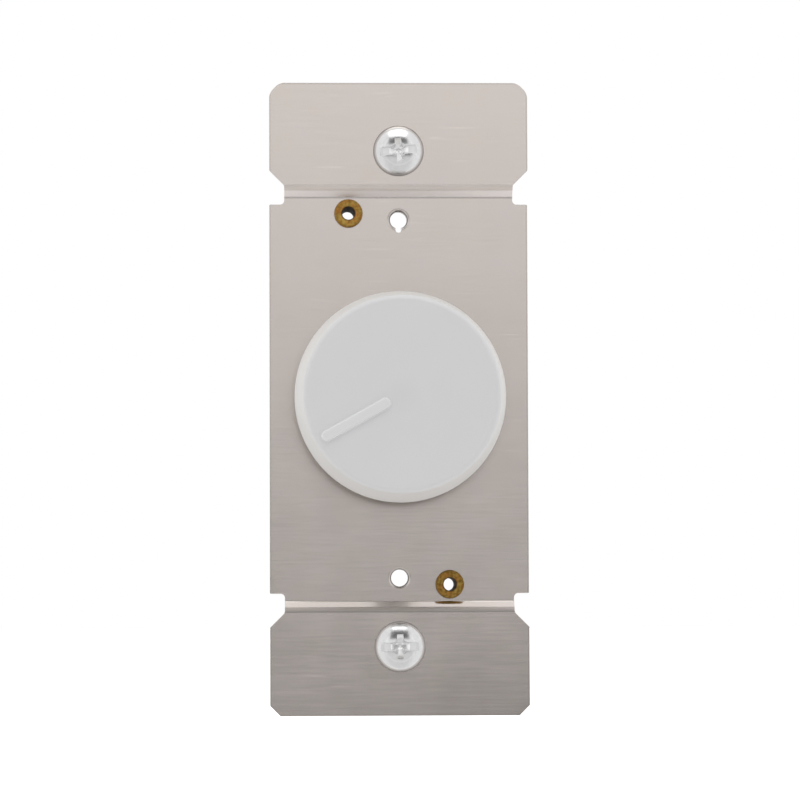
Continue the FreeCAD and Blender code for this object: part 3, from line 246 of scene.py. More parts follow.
class Finish:
    """A material's nodes, all made by one method."""

    def __init__(self, tree):
        self.tree = tree
        tree.nodes.clear()

    def add(self, kind, inputs=None, output=0, **settings):
        """A node of a kind: its settings come first, then the values or links of its sockets."""
        node = self.tree.nodes.new(kind)
        for name, value in settings.items():
            setattr(node, name, value)
        for name, value in (inputs or {}).items():
            socket = node.inputs[name]
            if isinstance(value, Wire):
                self.tree.links.new(value.socket, socket)
            elif socket.type == "RGBA":
                socket.default_value = (*value[:3], 1)
            else:
                socket.default_value = value
        return Wire(self, node.outputs[output]) if node.outputs else None

    def noise(self, grain, stretch=(1, 1, 1), detail=2.0, roughness=0.5):
        """Noise about 0.5, with blobs of roughly the given size in millimetres."""
        here = self.add("ShaderNodeTexCoord", output="Object")
        place = self.add("ShaderNodeMapping", {"Vector": here, "Scale": stretch})
        return self.add("ShaderNodeTexNoise", {"Vector": place, "Scale": 1 / (grain * MM),
                                               "Detail": detail, "Roughness": roughness})

    def along(self, axis):
        """The place along an axis, in metres."""
        here = self.add("ShaderNodeTexCoord", output="Object")
        return self.add("ShaderNodeSeparateXYZ", {"Vector": here}, output=axis)

    def size(self, value):
        """A value without its sign."""
        return self.add("ShaderNodeMath", {0: value}, operation="ABSOLUTE")

    def off_axis(self, x=0, z=0):
        """Distance from the nearest of the axes through (x, z) and its mirror images."""
        right = self.size(self.along("X")) - x * MM
        up = self.size(self.along("Z")) - z * MM
        return (right * right + up * up) ** 0.5

    def ray(self, kind):
        """1 for rays of a kind, and 0 for others."""
        return self.add("ShaderNodeLightPath", output=f"Is {kind} Ray")

    def ramp(self, value, start, end):
        """0 at the start and 1 at the end, clamped outside them."""
        return self.add("ShaderNodeMapRange", {"Value": value, "From Min": start, "From Max": end})

    def fade(self, value, start, end):
        """A ramp with its start and end in millimetres."""
        return self.ramp(value, start * MM, end * MM)

    def between(self, value, start, full, fading, end):
        """1 from full to fading, and 0 before the start and after the end, in millimetres."""
        return self.fade(value, start, full) * self.fade(value, end, fading)

    def mix(self, factor, first, second):
        """A colour between two, each a colour or a socket."""
        return self.add("ShaderNodeMix", {0: factor, 6: first, 7: second}, output=2, data_type="RGBA")

    def bump(self, height, distance):
        """A normal from a height of 0 to 1, which stands for a distance in millimetres."""
        return self.add("ShaderNodeBump", {"Height": height, "Distance": distance * MM, "Strength": 1.0})


def surface(name, colour, roughness, metallic, build, **sockets):
    """A material with one Principled shader. build gives the inputs that vary over the surface."""
    material = bpy.data.materials.new(name)
    material.use_nodes = True
    finish = Finish(material.node_tree)
    inputs = {"Base Color": colour, "Roughness": roughness, "Metallic": metallic, **sockets}
    inputs.update(build(finish))
    shader = finish.add("ShaderNodeBsdfPrincipled", inputs, output="BSDF")
    finish.add("ShaderNodeOutputMaterial", {"Surface": shader})
    return material


def times(colour, share):
    """A colour made lighter or darker."""
    return tuple(channel * share for channel in colour)


# Finishes. The bands are places on the piece, in millimetres: start, full, fading and end of a mask.

STRAP_COLOUR = (0.725, 0.662, 0.622)
# A paler painted reflection for the upper joggle's slope.
UPPER_SLOPE_PAINTED_REFLECTION = (0.95, 0.9, 0.875)
SLOPE_BAND = (33.8, 33.95, 34.95, 35.1)
OUTSIDE_BEND_BAND = (34.95, 35.1, 35.8, 36.1)
CREASE_BAND = (35.66, 35.8, 35.9, 36.05)
FOOT_BAND = (33.72, 33.86, 34.0, 34.16)


def brushed_sheet():
    """Rolled sheet with a fine grain across the strap, cloudy stains and short scratches.

    Painted shade darkens the lower joggle's bend and crease, the upper joggle's foot, the cut edges, the
    tapped holes' mouths and the lower ear towards its bottom and right. The upper joggle's slope carries a
    paler painted reflection and is rougher.
    """
    def build(finish):
        grain = finish.noise(0.35, stretch=(0.04, 1, 1), detail=4, roughness=0.6)
        fine = finish.noise(0.12, stretch=(0.02, 1, 1), detail=2)
        cloud = finish.noise(9, detail=4)
        scratch = finish.ramp(finish.noise(0.5, stretch=(0.06, 1, 1), detail=1), 0.68, 0.8)
        shade = 0.88 + 0.12 * grain + 0.12 * cloud
        tint = 0.07 * finish.noise(5, detail=3) - 0.035
        shades = finish.add("ShaderNodeCombineXYZ", {"X": shade, "Y": shade, "Z": shade - tint})
        tone = finish.add("ShaderNodeVectorMath", {0: STRAP_COLOUR, 1: shades}, operation="MULTIPLY")

        across = finish.along("X")
        height = finish.size(finish.along("Z"))
        lower = finish.fade(finish.along("Z"), 0.5, -0.5)
        upper = 1 - lower
        slope = finish.between(height, *SLOPE_BAND)
        bend = finish.between(height, *OUTSIDE_BEND_BAND)
        crease = finish.between(height, *CREASE_BAND)
        foot = finish.between(height, *FOOT_BAND)
        # Outside this mask the cut edges get painted shade.
        inside = (finish.fade(finish.size(across), HALF_WIDTH - 0.05, HALF_WIDTH - 0.35)
                  * finish.fade(height, REACH - 0.05, REACH - 0.35))
        # Painted shade on the lower ear, deeper towards its bottom and right.
        painted_ear_shade = finish.fade(height, 38, 53) * (0.3 + 1.2 * finish.fade(across, -14, 14))
        # Painted shade round the tapped holes' mouths.
        mouth = finish.fade(finish.off_axis(0, PLATE_SCREW_Z), 2.05, 1.6)
        # Painted shade in the lower joggle's bend and crease, on the lower ear, at the upper joggle's foot,
        # on the cut edges and at the tapped holes' mouths.
        dull_and_painted_shade = (lower * (0.5 * bend + 0.25 * crease + 0.16 * painted_ear_shade) + 0.5 * upper * foot
                + 0.25 * (1 - inside) + 0.35 * mouth)
        matt = lower * (0.3 * bend - 0.11 * slope) + upper * (0.3 * bend + 0.3 * slope)

        colour = finish.mix(0.2 * scratch, tone, times(STRAP_COLOUR, 1.3))
        # A paler painted reflection on the upper joggle's slope.
        colour = finish.mix(slope * upper, colour, UPPER_SLOPE_PAINTED_REFLECTION)
        # The painted shade darkens the colour towards a dark grey.
        return {"Base Color": finish.mix(dull_and_painted_shade, colour, times(STRAP_COLOUR, 0.3)),
                "Roughness": 0.195 + 0.055 * grain + 0.05 * cloud + matt,
                "Normal": finish.bump(fine + grain, 0.0011)}
    return surface("strap_aluminium", STRAP_COLOUR, 0.4, 1.0, build)


KNOB_SHADES = ((0.735, 0.731, 0.741), (0.76, 0.754, 0.761))
# Painted highlight for the pointer.
KNOB_POINTER_PAINTED_HIGHLIGHT = (0.86, 0.855, 0.855)
# Painted warm reflection of the strap, for the knob's side.
KNOB_RIM_PAINTED_REFLECTION = (0.8, 0.785, 0.745)
# Painted shade of a sink mark over the hub.
KNOB_SINK_PAINTED_SHADE = (0.4, 0.4, 0.4)


def knob_plastic():
    """Satin white plastic with a sparked texture, a painted highlight on the pointer that is strongest at its
    edges, a painted warm reflection of the strap on the side and a faint painted shade of a sink mark over
    the hub.
    """
    def build(finish):
        sparks = finish.noise(0.16, detail=2)
        off = finish.off_axis()
        depth = finish.along("Y")
        sink = finish.fade(off, 3.6, 0.5)
        rim = finish.fade(off, 16.1, 16.5)
        raised = finish.fade(depth, KNOB_FRONT + 0.32, KNOB_FRONT + 0.15)
        bevel = finish.fade(depth, KNOB_FRONT, KNOB_FRONT + 0.04)
        colour = finish.mix(finish.noise(9, detail=2), *KNOB_SHADES)
        # Painted highlight on the pointer, strongest on its edges.
        colour = finish.mix(raised * (0.4 + 0.5 * bevel), colour, KNOB_POINTER_PAINTED_HIGHLIGHT)
        # Painted warm reflection of the strap on the knob's side.
        colour = finish.mix(0.6 * rim, colour, KNOB_RIM_PAINTED_REFLECTION)
        # Faint painted shade of a sink mark about the axis.
        return {"Base Color": finish.mix(0.06 * sink, colour, KNOB_SINK_PAINTED_SHADE),
                "Roughness": 0.4 + 0.08 * sparks,
                "Normal": finish.bump(sparks, 0.004)}
    return surface("knob_white", (0.75, 0.75, 0.755), 0.42, 0.0, build, **{
        "Subsurface Weight": 0.08, "Subsurface Radius": (0.002, 0.002, 0.002)})


ZINC_SHADES = ((0.8, 0.8, 0.8), (0.62, 0.62, 0.62))
# Painted light for the slot's floor and the recess.
ZINC_RECESS_PAINTED_LIGHT = (0.95, 0.95, 0.95)
# Painted shade for the head's rim.
ZINC_RIM_PAINTED_SHADE = (0.2, 0.2, 0.2)


def zinc_plate():
    """Bright zinc with cloudy dull spots, painted light on the slot's floor and in the recess, and painted
    shade where the head turns under.
    """
    def build(finish):
        off = finish.off_axis(0, MOUNT_Z)
        depth = finish.along("Y")
        across = finish.size(finish.size(finish.along("Z")) - MOUNT_Z * MM)
        edge = finish.fade(off, 3.9, 4.22)
        slot = (finish.between(depth, HEAD_SLOT_FLOOR - 0.1, HEAD_SLOT_FLOOR - 0.02,
                               HEAD_SLOT_FLOOR + 0.04, HEAD_SLOT_FLOOR + 0.1)
                * finish.fade(across, 0.95, 0.8))
        recess = finish.fade(depth, HEAD_SLOT_FLOOR - 0.3, HEAD_SLOT_FLOOR) * finish.fade(off, 2.7, 2.45)
        spots = finish.noise(0.6, detail=3)
        cloud = finish.noise(2.4, detail=2)
        colour = finish.mix(0.4 * spots + 0.5 * cloud, *ZINC_SHADES)
        # Painted light on the slot's floor and in the recess.
        colour = finish.mix(0.7 * slot + 0.9 * recess, colour, ZINC_RECESS_PAINTED_LIGHT)
        # Painted shade where the head turns under at its rim.
        return {"Base Color": finish.mix(0.65 * edge, colour, ZINC_RIM_PAINTED_SHADE),
                "Roughness": 0.16 + 0.1 * spots + 0.2 * edge + 0.3 * slot,
                "Normal": finish.bump(spots, 0.004)}
    return surface("screw_zinc", ZINC_SHADES[0], 0.22, 1.0, build)


BRASS_SHADES = ((0.52, 0.36, 0.09), (0.50, 0.21, 0.05))
# Brown for stains, and for painted shade on the lower eyelet.
BRASS_STAIN_AND_PAINTED_SHADE = (0.2, 0.115, 0.025)
# Painted shade for the flange's rounded edge.
BRASS_EDGE_PAINTED_SHADE = (0.14, 0.09, 0.03)
# Painted shade for the bore.
BRASS_BORE_PAINTED_SHADE = (0.035, 0.02, 0.015)


def rolled_brass():
    """Brass with yellow and reddish patches and brown stains, and painted shade on the lower eyelet, on the
    flange's edge and in the bore.
    """
    def build(finish):
        off = finish.off_axis(EYELET_X, EYELET_Z)
        bore = finish.fade(off, 1.32, 1.12)
        edge = finish.fade(off, 1.95, EYELET_FLANGE)
        lower = finish.fade(finish.along("Z"), 0.5, -0.5)
        patches = finish.ramp(finish.noise(0.9, detail=3), 0.35, 0.65)
        stains = finish.ramp(finish.noise(0.5, detail=4), 0.42, 0.62)
        spots = finish.noise(0.25, detail=3)
        colour = finish.mix(patches, *BRASS_SHADES)
        # Brown stains, and painted shade that darkens the whole lower eyelet.
        colour = finish.mix(0.6 * stains + 0.35 * lower, colour, BRASS_STAIN_AND_PAINTED_SHADE)
        # Painted shade on the flange's rounded edge.
        colour = finish.mix(0.6 * edge, colour, BRASS_EDGE_PAINTED_SHADE)
        # Painted shade in the bore, which is also less metallic and rougher.
        return {"Base Color": finish.mix(0.88 * bore, colour, BRASS_BORE_PAINTED_SHADE),
                "Metallic": 1 - 0.6 * bore,
                "Roughness": 0.36 + 0.15 * spots + 0.25 * bore,
                "Normal": finish.bump(spots, 0.008)}
    return surface("eyelet_brass", (0.4, 0.25, 0.06), 0.4, 1.0, build)


def plated(name, colour, dull_and_painted_shade, roughness):
    """Bright plated or turned metal, with duller spots."""
    def build(finish):
        spots = finish.noise(0.5, detail=3)
        cloud = finish.noise(3, detail=2)
        return {"Base Color": finish.mix(0.35 * spots + 0.5 * cloud, colour, dull_and_painted_shade),
                "Roughness": roughness * 0.8 + roughness * 0.5 * spots,
                "Normal": finish.bump(spots, 0.004)}
    return surface(name, colour, roughness, 1.0, build)


def moulded(name, colour, roughness, grain=0.2, depth=0.01):
    """Moulded or painted surface with a fine texture."""
    def build(finish):
        sparks = finish.noise(grain, detail=2)
        cloud = finish.noise(grain * 30, detail=2)
        return {"Base Color": finish.mix(cloud, colour, times(colour, 1.25)),
                "Roughness": roughness - 0.08 + 0.16 * sparks,
                "Normal": finish.bump(sparks, depth)}
    return surface(name, colour, roughness, 0.0, build)


def speckled_fibre(name, colour, dark):
    """Pressed fibre or paper laminate, with a faint speckle."""
    def build(finish):
        speckle = finish.noise(0.12, detail=4, roughness=0.7)
        return {"Base Color": finish.mix(speckle, colour, dark),
                "Roughness": 0.6 + 0.2 * speckle,
                "Normal": finish.bump(speckle, 0.01)}
    return surface(name, colour, 0.7, 0.0, build)


INNER_FINISHES = {
    "housing_black": (moulded, (0.022, 0.022, 0.024), 0.42, 0.25, 0.012),
    "washer_fibre": (speckled_fibre, (0.30, 0.15, 0.08), (0.20, 0.09, 0.05)),
    "bushing_metal": (plated, (0.72, 0.71, 0.70), (0.55, 0.54, 0.53), 0.3),
    "shaft_metal": (plated, (0.66, 0.65, 0.64), (0.5, 0.49, 0.48), 0.28),
    "spring_steel": (plated, (0.42, 0.42, 0.43), (0.3, 0.3, 0.31), 0.3),
    "pot_steel": (plated, (0.7, 0.7, 0.69), (0.55, 0.55, 0.53), 0.35),
    "wafer_phenolic": (speckled_fibre, (0.33, 0.17, 0.07), (0.24, 0.11, 0.04)),
    "track_carbon": (moulded, (0.02, 0.02, 0.02), 0.6),
    "contact_bronze": (plated, (0.6, 0.38, 0.2), (0.42, 0.25, 0.12), 0.3),
    "carrier_nylon": (moulded, (0.6, 0.58, 0.5), 0.45),
    "board_laminate": (speckled_fibre, (0.20, 0.27, 0.10), (0.15, 0.21, 0.07)),
    "triac_package": (moulded, (0.02, 0.02, 0.02), 0.5),
    "insulator_film": (moulded, (0.7, 0.68, 0.6), 0.4),
    "choke_ferrite": (moulded, (0.45, 0.4, 0.08), 0.4),
    "choke_wire": (plated, (0.6, 0.25, 0.1), (0.45, 0.16, 0.06), 0.25),
    "capacitor_case": (moulded, (0.5, 0.26, 0.03), 0.35),
    "timing_case": (moulded, (0.10, 0.28, 0.16), 0.35),
    "resistor_body": (moulded, (0.5, 0.38, 0.22), 0.4),
    "diac_glass": (moulded, (0.30, 0.45, 0.62), 0.15),
}
finishes = {
    "strap_aluminium": brushed_sheet(),
    "knob_white": knob_plastic(),
    "screw_zinc": zinc_plate(),
    "eyelet_brass": rolled_brass(),
}
for slot_name, (maker, *values) in INNER_FINISHES.items():
    finishes[slot_name] = maker(slot_name, *values)


# Meshes

def finished_piece(name, bm, slot, body, replaces, sharp):
    """Turns a bmesh into a piece of the object, with its finish, that rides on a body."""
    bmesh.ops.remove_doubles(bm, verts=bm.verts, dist=NEAR)
    bmesh.ops.recalc_face_normals(bm, faces=bm.faces)
    mesh = bpy.data.meshes.new(name)
    bm.to_mesh(mesh)
    bm.free()
    mesh.shade_smooth()
    mesh.set_sharp_from_angle(angle=math.radians(sharp))
    piece = bpy.data.objects.new(name, mesh)
    bpy.context.scene.collection.objects.link(piece)
    mesh.materials.append(finishes[slot])
    weighting = piece.modifiers.new("flat_faces_stay_flat", "WEIGHTED_NORMAL")
    weighting.keep_sharp = True
    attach(piece, body)
    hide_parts(*replaces)


def wire_path(bm, points, closed=False, segments=6):
    """A path of edges through (place, cut-back) pairs, in metres; each cut-back rounds its corner."""
    verts = [bm.verts.new(place) for place, cutback in points]
    for pair in zip(verts, verts[1:] + verts[:1] if closed else verts[1:]):
        bm.edges.new(pair)
    for vert, (place, cutback) in zip(verts, points):
        if cutback:
            bmesh.ops.bevel(bm, geom=[vert], offset=cutback, offset_type="OFFSET", segments=segments,
                            profile=0.5, affect="VERTICES", material=-1)


def turn_profile(bm, profile, steps, centre=CENTRE, segments=6):
    """Spins a profile of (radius, place along Y, cut-back), in millimetres, about the Y axis."""
    turned = bmesh.new()
    wire_path(turned, [(Vector((radius, along, 0)) * MM, cutback * MM) for radius, along, cutback in profile],
              segments=segments)
    bmesh.ops.spin(turned, geom=turned.verts[:] + turned.edges[:], cent=CENTRE,
                   axis=INTO_WALL, angle=math.tau, steps=steps, use_merge=True)
    bmesh.ops.remove_doubles(turned, verts=turned.verts, dist=FINE)
    bmesh.ops.translate(turned, verts=turned.verts, vec=centre)
    add_mesh(bm, turned)


def add_mesh(bm, other):
    """Adds another bmesh's faces to this one."""
    mesh = bpy.data.meshes.new("part")
    bmesh.ops.recalc_face_normals(other, faces=other.faces)
    other.to_mesh(mesh)
    other.free()
    bm.from_mesh(mesh)
    bpy.data.meshes.remove(mesh)


def carve(bm, cutter, operation="DIFFERENCE"):
    """The first bmesh with the second one cut from it or joined to it."""
    solids = []
    for solid in (bm, cutter):
        bmesh.ops.remove_doubles(solid, verts=solid.verts, dist=FINE)
        bmesh.ops.recalc_face_normals(solid, faces=solid.faces)
        mesh = bpy.data.meshes.new("solid")
        solid.to_mesh(mesh)
        solid.free()
        item = bpy.data.objects.new("solid", mesh)
        bpy.context.scene.collection.objects.link(item)
        solids.append(item)
    step = solids[0].modifiers.new("carve", "BOOLEAN")
    step.operation = operation
    step.solver = "EXACT"
    step.object = solids[1]
    shown = bpy.context.evaluated_depsgraph_get()
    mesh = bpy.data.meshes.new_from_object(solids[0].evaluated_get(shown))
    result = bmesh.new()
    result.from_mesh(mesh)
    for item in solids:
        bpy.data.objects.remove(item)
    bpy.data.meshes.remove(mesh)
    return result


def sharp_edges(bm, degrees=35):
    """The edges at which the surface turns by more than an angle."""
    return [edge for edge in bm.edges
            if len(edge.link_faces) == 2 and edge.calc_face_angle(0) > math.radians(degrees)]


def ease_edges(bm, edges, width, segments=2):
    """Rounds edges by a width in millimetres."""
    bmesh.ops.bevel(bm, geom=edges, offset=width * MM, offset_type="OFFSET", segments=segments,
                    profile=0.5, affect="EDGES", material=-1, clamp_overlap=True)


def turn(bm, angle):
    """Turns all of a bmesh about the Y axis."""
    bmesh.ops.rotate(bm, verts=bm.verts, cent=CENTRE, matrix=Matrix.Rotation(angle, 3, "Y"))


def push_back(bm, depth):
    """Gives flat faces a depth into the wall, in millimetres."""
    made = bmesh.ops.extrude_face_region(bm, geom=bm.faces[:])["geom"]
    bmesh.ops.translate(bm, verts=[item for item in made if isinstance(item, bmesh.types.BMVert)],
                        vec=(0, depth * MM, 0))


def block(size, middle):
    """A box, by its size and middle in millimetres."""
    box = bmesh.new()
    bmesh.ops.create_cube(box, size=1.0)
    bmesh.ops.scale(box, verts=box.verts, vec=Vector(size) * MM)
    bmesh.ops.translate(box, verts=box.verts, vec=Vector(middle) * MM)
    return box


def circle(bm, x, z, radius, steps, filled=False):
    """A circle that faces the room, as its vertices."""
    place = Matrix.Translation((x * MM, 0, z * MM)) @ Matrix.Rotation(math.pi / 2, 4, "X")
    return bmesh.ops.create_circle(bm, cap_ends=filled, segments=steps, radius=radius * MM,
                                   matrix=place)["verts"]


def upright_slot(bm, radius, low, high, depth, steps, filled=False):
    """A circle that faces the room at a depth, drawn out from a low centre to a high one."""
    ring = circle(bm, 0, 0, radius, steps, filled)
    for vert in ring:
        vert.co.z += (high if vert.co.z > 0 else low) * MM
        vert.co.y = depth * MM
    return ring


# Strap

def step_forward(z, start, end, first_radius, last_radius):
    """How far a face stands forward at a height: one sheet's step with both of its bends rounded."""
    first_tangent = first_radius * math.tan(BEND_ANGLE / 2)
    last_tangent = last_radius * math.tan(BEND_ANGLE / 2)
    z = abs(z)
    if z <= start - first_tangent:
        return 0.0
    if z < start + first_tangent * math.cos(BEND_ANGLE):
        across = z - (start - first_tangent)
        return first_radius - math.sqrt(max(first_radius ** 2 - across ** 2, 0))
    if z < end - last_tangent * math.cos(BEND_ANGLE):
        return (z - start) * math.tan(BEND_ANGLE)
    if z < end + last_tangent:
        across = end + last_tangent - z
        return EAR_RISE - (last_radius - math.sqrt(max(last_radius ** 2 - across ** 2, 0)))
    return EAR_RISE


def bend_front(z):
    return step_forward(z, JOGGLE_START, JOGGLE_END, INSIDE_BEND, OUTSIDE_BEND)


def bend_back(z):
    return step_forward(z, JOGGLE_START + BACK_SHIFT, JOGGLE_END + BACK_SHIFT, OUTSIDE_BEND, INSIDE_BEND)


def bend_levels():
    """The heights at which the sheet is divided so that its bends come out round."""
    levels = []
    for shift, first, last in ((0.0, INSIDE_BEND, OUTSIDE_BEND), (BACK_SHIFT, OUTSIDE_BEND, INSIDE_BEND)):
        for radius, corner, side in ((first, JOGGLE_START + shift, 1), (last, JOGGLE_END + shift, -1)):
            steps = OUTSIDE_BEND_STEPS if radius == OUTSIDE_BEND else INSIDE_BEND_STEPS
            tangent = radius * math.tan(BEND_ANGLE / 2)
            levels += [corner - side * (tangent - radius * math.sin(BEND_ANGLE * step / steps))
                       for step in range(steps + 1)]
    return sorted(levels)


def half_outline(ear_cut):
    """The outline of the strap's upper half, as (x, z, cut-back) from right to left."""
    flare_end = NECK_REACH + (HALF_WIDTH - HALF_NECK)
    quarter = [(HALF_WIDTH, PLATE_REACH, OUTER_CORNER_CUT), (HALF_NECK, PLATE_REACH, NECK_START_CUT),
               (HALF_NECK, NECK_REACH, NECK_END_CUT), (HALF_WIDTH, flare_end, OUTER_CORNER_CUT),
               (HALF_WIDTH, REACH - EAR_CORNER, ear_cut), (HALF_WIDTH - EAR_CORNER, REACH, ear_cut)]
    return quarter + [(-x, z, cut) for x, z, cut in reversed(quarter)]


def on_tapped_mouth(edge):
    """Whether an edge lies on the front rim of a tapped hole."""
    middle = (edge.verts[0].co + edge.verts[1].co) / 2
    off = Vector((middle.x, abs(middle.z) - PLATE_SCREW_Z * MM)).length
    return middle.y < COARSE and off < TAPPED_RADIUS * 1.02 * MM


def make_strap():
    bm = bmesh.new()
    lower_half = [(x, -z, cut) for x, z, cut in reversed(half_outline(LOWER_EAR_CUT))]
    wire_path(bm, [((x * MM, 0, z * MM), cut * MM) for x, z, cut in half_outline(UPPER_EAR_CUT) + lower_half],
              closed=True)
    for sign in (1, -1):
        circle(bm, 0, sign * PLATE_SCREW_Z, TAPPED_RADIUS, SMALL_STEPS)
        circle(bm, -sign * EYELET_X, sign * EYELET_Z, EYELET_HOLE, SMALL_STEPS)
        for vert in circle(bm, 0, sign * MOUNT_Z, MOUNT_SLOT_RADIUS, SMALL_STEPS):
            vert.co.x += math.copysign(MOUNT_SLOT_HALF * MM, vert.co.x)
    circle(bm, 0, 0, BUSHING_HOLE, SMALL_STEPS)
    circle(bm, *RIVET_HOLE, SMALL_STEPS)
    bmesh.ops.triangle_fill(bm, use_beauty=True, use_dissolve=False, edges=bm.edges[:])
    push_back(bm, SHEET)
    bmesh.ops.recalc_face_normals(bm, faces=bm.faces)
    bmesh.ops.dissolve_limit(bm, angle_limit=0.001, verts=bm.verts, edges=bm.edges)
    rims = [edge for edge in sharp_edges(bm, RIM_ANGLE) if not on_tapped_mouth(edge)]
    ease_edges(bm, rims, EDGE_BREAK, segments=3)
    mouths = [edge for edge in sharp_edges(bm) if on_tapped_mouth(edge)]
    ease_edges(bm, mouths, TAPPED_MOUTH_CUT, segments=5)

    for sign in (1, -1):
        for level in bend_levels():
            bmesh.ops.bisect_plane(bm, geom=bm.verts[:] + bm.edges[:] + bm.faces[:], dist=FINE,
                                   plane_co=(0, 0, sign * level * MM), plane_no=UP)
    for vert in bm.verts:
        share = vert.co.y / (SHEET * MM)
        height = vert.co.z / MM
        vert.co.y -= ((1 - share) * bend_front(height) + share * bend_back(height)) * MM

    collar_end = SHEET + COLLAR_LENGTH
    for sign in (1, -1):
        turn_profile(bm, [(TAPPED_RADIUS, SHEET, 0), (COLLAR_FOOT, SHEET, COLLAR_FOOT_CUT),
                          (COLLAR_RADIUS, collar_end, COLLAR_RIM_CUT),
                          (TAPPED_RADIUS, collar_end, COLLAR_MOUTH_CUT), (TAPPED_RADIUS, SHEET, 0)],
                     SMALL_STEPS, centre=(0, 0, sign * PLATE_SCREW_Z * MM))

    notch = bmesh.new()
    notch_low = PLATE_SCREW_Z - TAPPED_RADIUS - NOTCH_REACH + NOTCH_RADIUS
    upright_slot(notch, NOTCH_RADIUS, notch_low, PLATE_SCREW_Z, NOTCH_START, NOTCH_STEPS, filled=True)
    push_back(notch, NOTCH_DEPTH)
    finished_piece("strap_sheet", carve(bm, notch), "strap_aluminium", "strap_assembly", ["mounting_strap"],
                   sharp=28)


# Knob

def make_knob():
    """A tapered cap with a hub for the shaft, ribs behind its face and a pointer on it."""
    base_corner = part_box("knob")[1]
    base_y = base_corner.y / MM
    base = base_corner.x / MM
    face = base - KNOB_TAPER
    face_y = base_y - KNOB_DEPTH
    inner_face = face - KNOB_WALL
    under = face_y + KNOB_WALL
    hub_end = under + HUB_LENGTH
    bore_end = under + HUB_FLOOR
    bm = bmesh.new()
    turn_profile(bm, [(0, face_y, 0), (face, face_y, KNOB_FACE_CUT), (base, base_y, KNOB_BASE_CUT),
                      (base - KNOB_WALL, base_y, KNOB_BASE_CUT), (inner_face, under, KNOB_INSIDE_CUT),
                      (HUB_RADIUS, under, HUB_FOOT_CUT), (HUB_RADIUS, hub_end, HUB_END_CUT),
                      (HUB_BORE, hub_end, HUB_END_CUT), (HUB_BORE, bore_end, 0), (0, bore_end, 0)],
                 KNOB_STEPS, segments=10)
    rib_end = inner_face + RIB_OVERLAP
    rib = block((rib_end - RIB_START, RIB_DEPTH, RIB_THICKNESS),
                ((rib_end + RIB_START) / 2, under - RIB_SINK + RIB_DEPTH / 2, 0))
    ease_edges(rib, rib.edges[:], RIB_EDGE_BREAK)
    for index in range(RIB_COUNT):
        copy = rib.copy()
        turn(copy, math.tau * index / RIB_COUNT + POINTER_TURN)
        add_mesh(bm, copy)
    rib.free()
    add_pointer(bm, face_y)
    finished_piece("knob_cap", bm, "knob_white", "knob_assembly", ["knob"], sharp=40)


def add_pointer(bm, face_y):
    """A raised bar with round ends and a soft foot, from outlines that spread less as they rise."""
    pointer = bmesh.new()
    loops = []
    for spread, rise in POINTER_SECTION:
        ring = upright_slot(pointer, POINTER_HALF_WIDTH + spread, POINTER_INNER + POINTER_HALF_WIDTH,
                            POINTER_OUTER - POINTER_HALF_WIDTH, face_y - rise, POINTER_STEPS)
        loops.append(list({edge for vert in ring for edge in vert.link_edges}))
    for first, second in zip(loops, loops[1:]):
        bmesh.ops.bridge_loops(pointer, edges=first + second)
    bmesh.ops.edgeloop_fill(pointer, edges=loops[-1])
    turn(pointer, POINTER_TURN)
    add_mesh(bm, pointer)


# Eyelets

def make_eyelet(name, x, z):
    """A brass tube with a flange in front and a curled end behind."""
    low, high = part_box(name)
    front = low.y / MM
    back = high.y / MM
    curl = back - EYELET_CURL_DEPTH
    bm = bmesh.new()
    turn_profile(bm, [(EYELET_BORE, EYELET_BORE_SEAM, 0),
                      (EYELET_BORE, front + EYELET_DISH, EYELET_MOUTH_CUT),
                      (EYELET_FLANGE, front, EYELET_FRONT_CUT),
                      (EYELET_FLANGE, EYELET_SEAT, EYELET_SEAT_CUT),
                      (EYELET_TUBE, EYELET_SEAT, 0), (EYELET_TUBE, curl, 0),
                      (EYELET_CURL, curl, EYELET_CURL_CUT), (EYELET_CURL, back, EYELET_BACK_CUT),
                      (EYELET_BORE, back, EYELET_END_CUT), (EYELET_BORE, EYELET_BORE_SEAM, 0)],
                 SMALL_STEPS, centre=(x * MM, 0, z * MM), segments=5)
    finished_piece(f"{name}_brass", bm, "eyelet_brass", "strap_assembly", [name], sharp=50)


# Mounting screws

def tapered_cross(front):
    """The cross in a head's recess: two tapered bars that stand a little out of the head."""
    grow = CROSS_LIFT / CROSS_DEPTH
    mouth = (CROSS_ARM + grow * (CROSS_ARM - CROSS_END_ARM), front - CROSS_LIFT,
             CROSS_HALF + grow * (CROSS_HALF - CROSS_END_HALF))
    end = (CROSS_END_ARM, front + CROSS_DEPTH, CROSS_END_HALF)
    bars = []
    for index in range(2):
        bar = bmesh.new()
        bmesh.ops.create_cube(bar, size=2.0)
        for vert in bar.verts:
            arm, depth, half = mouth if vert.co.y < 0 else end
            vert.co = Vector((math.copysign(arm, vert.co.x), depth, math.copysign(half, vert.co.z))) * MM
        turn(bar, index * math.pi / 2)
        bars.append(bar)
    return carve(*bars, "UNION")


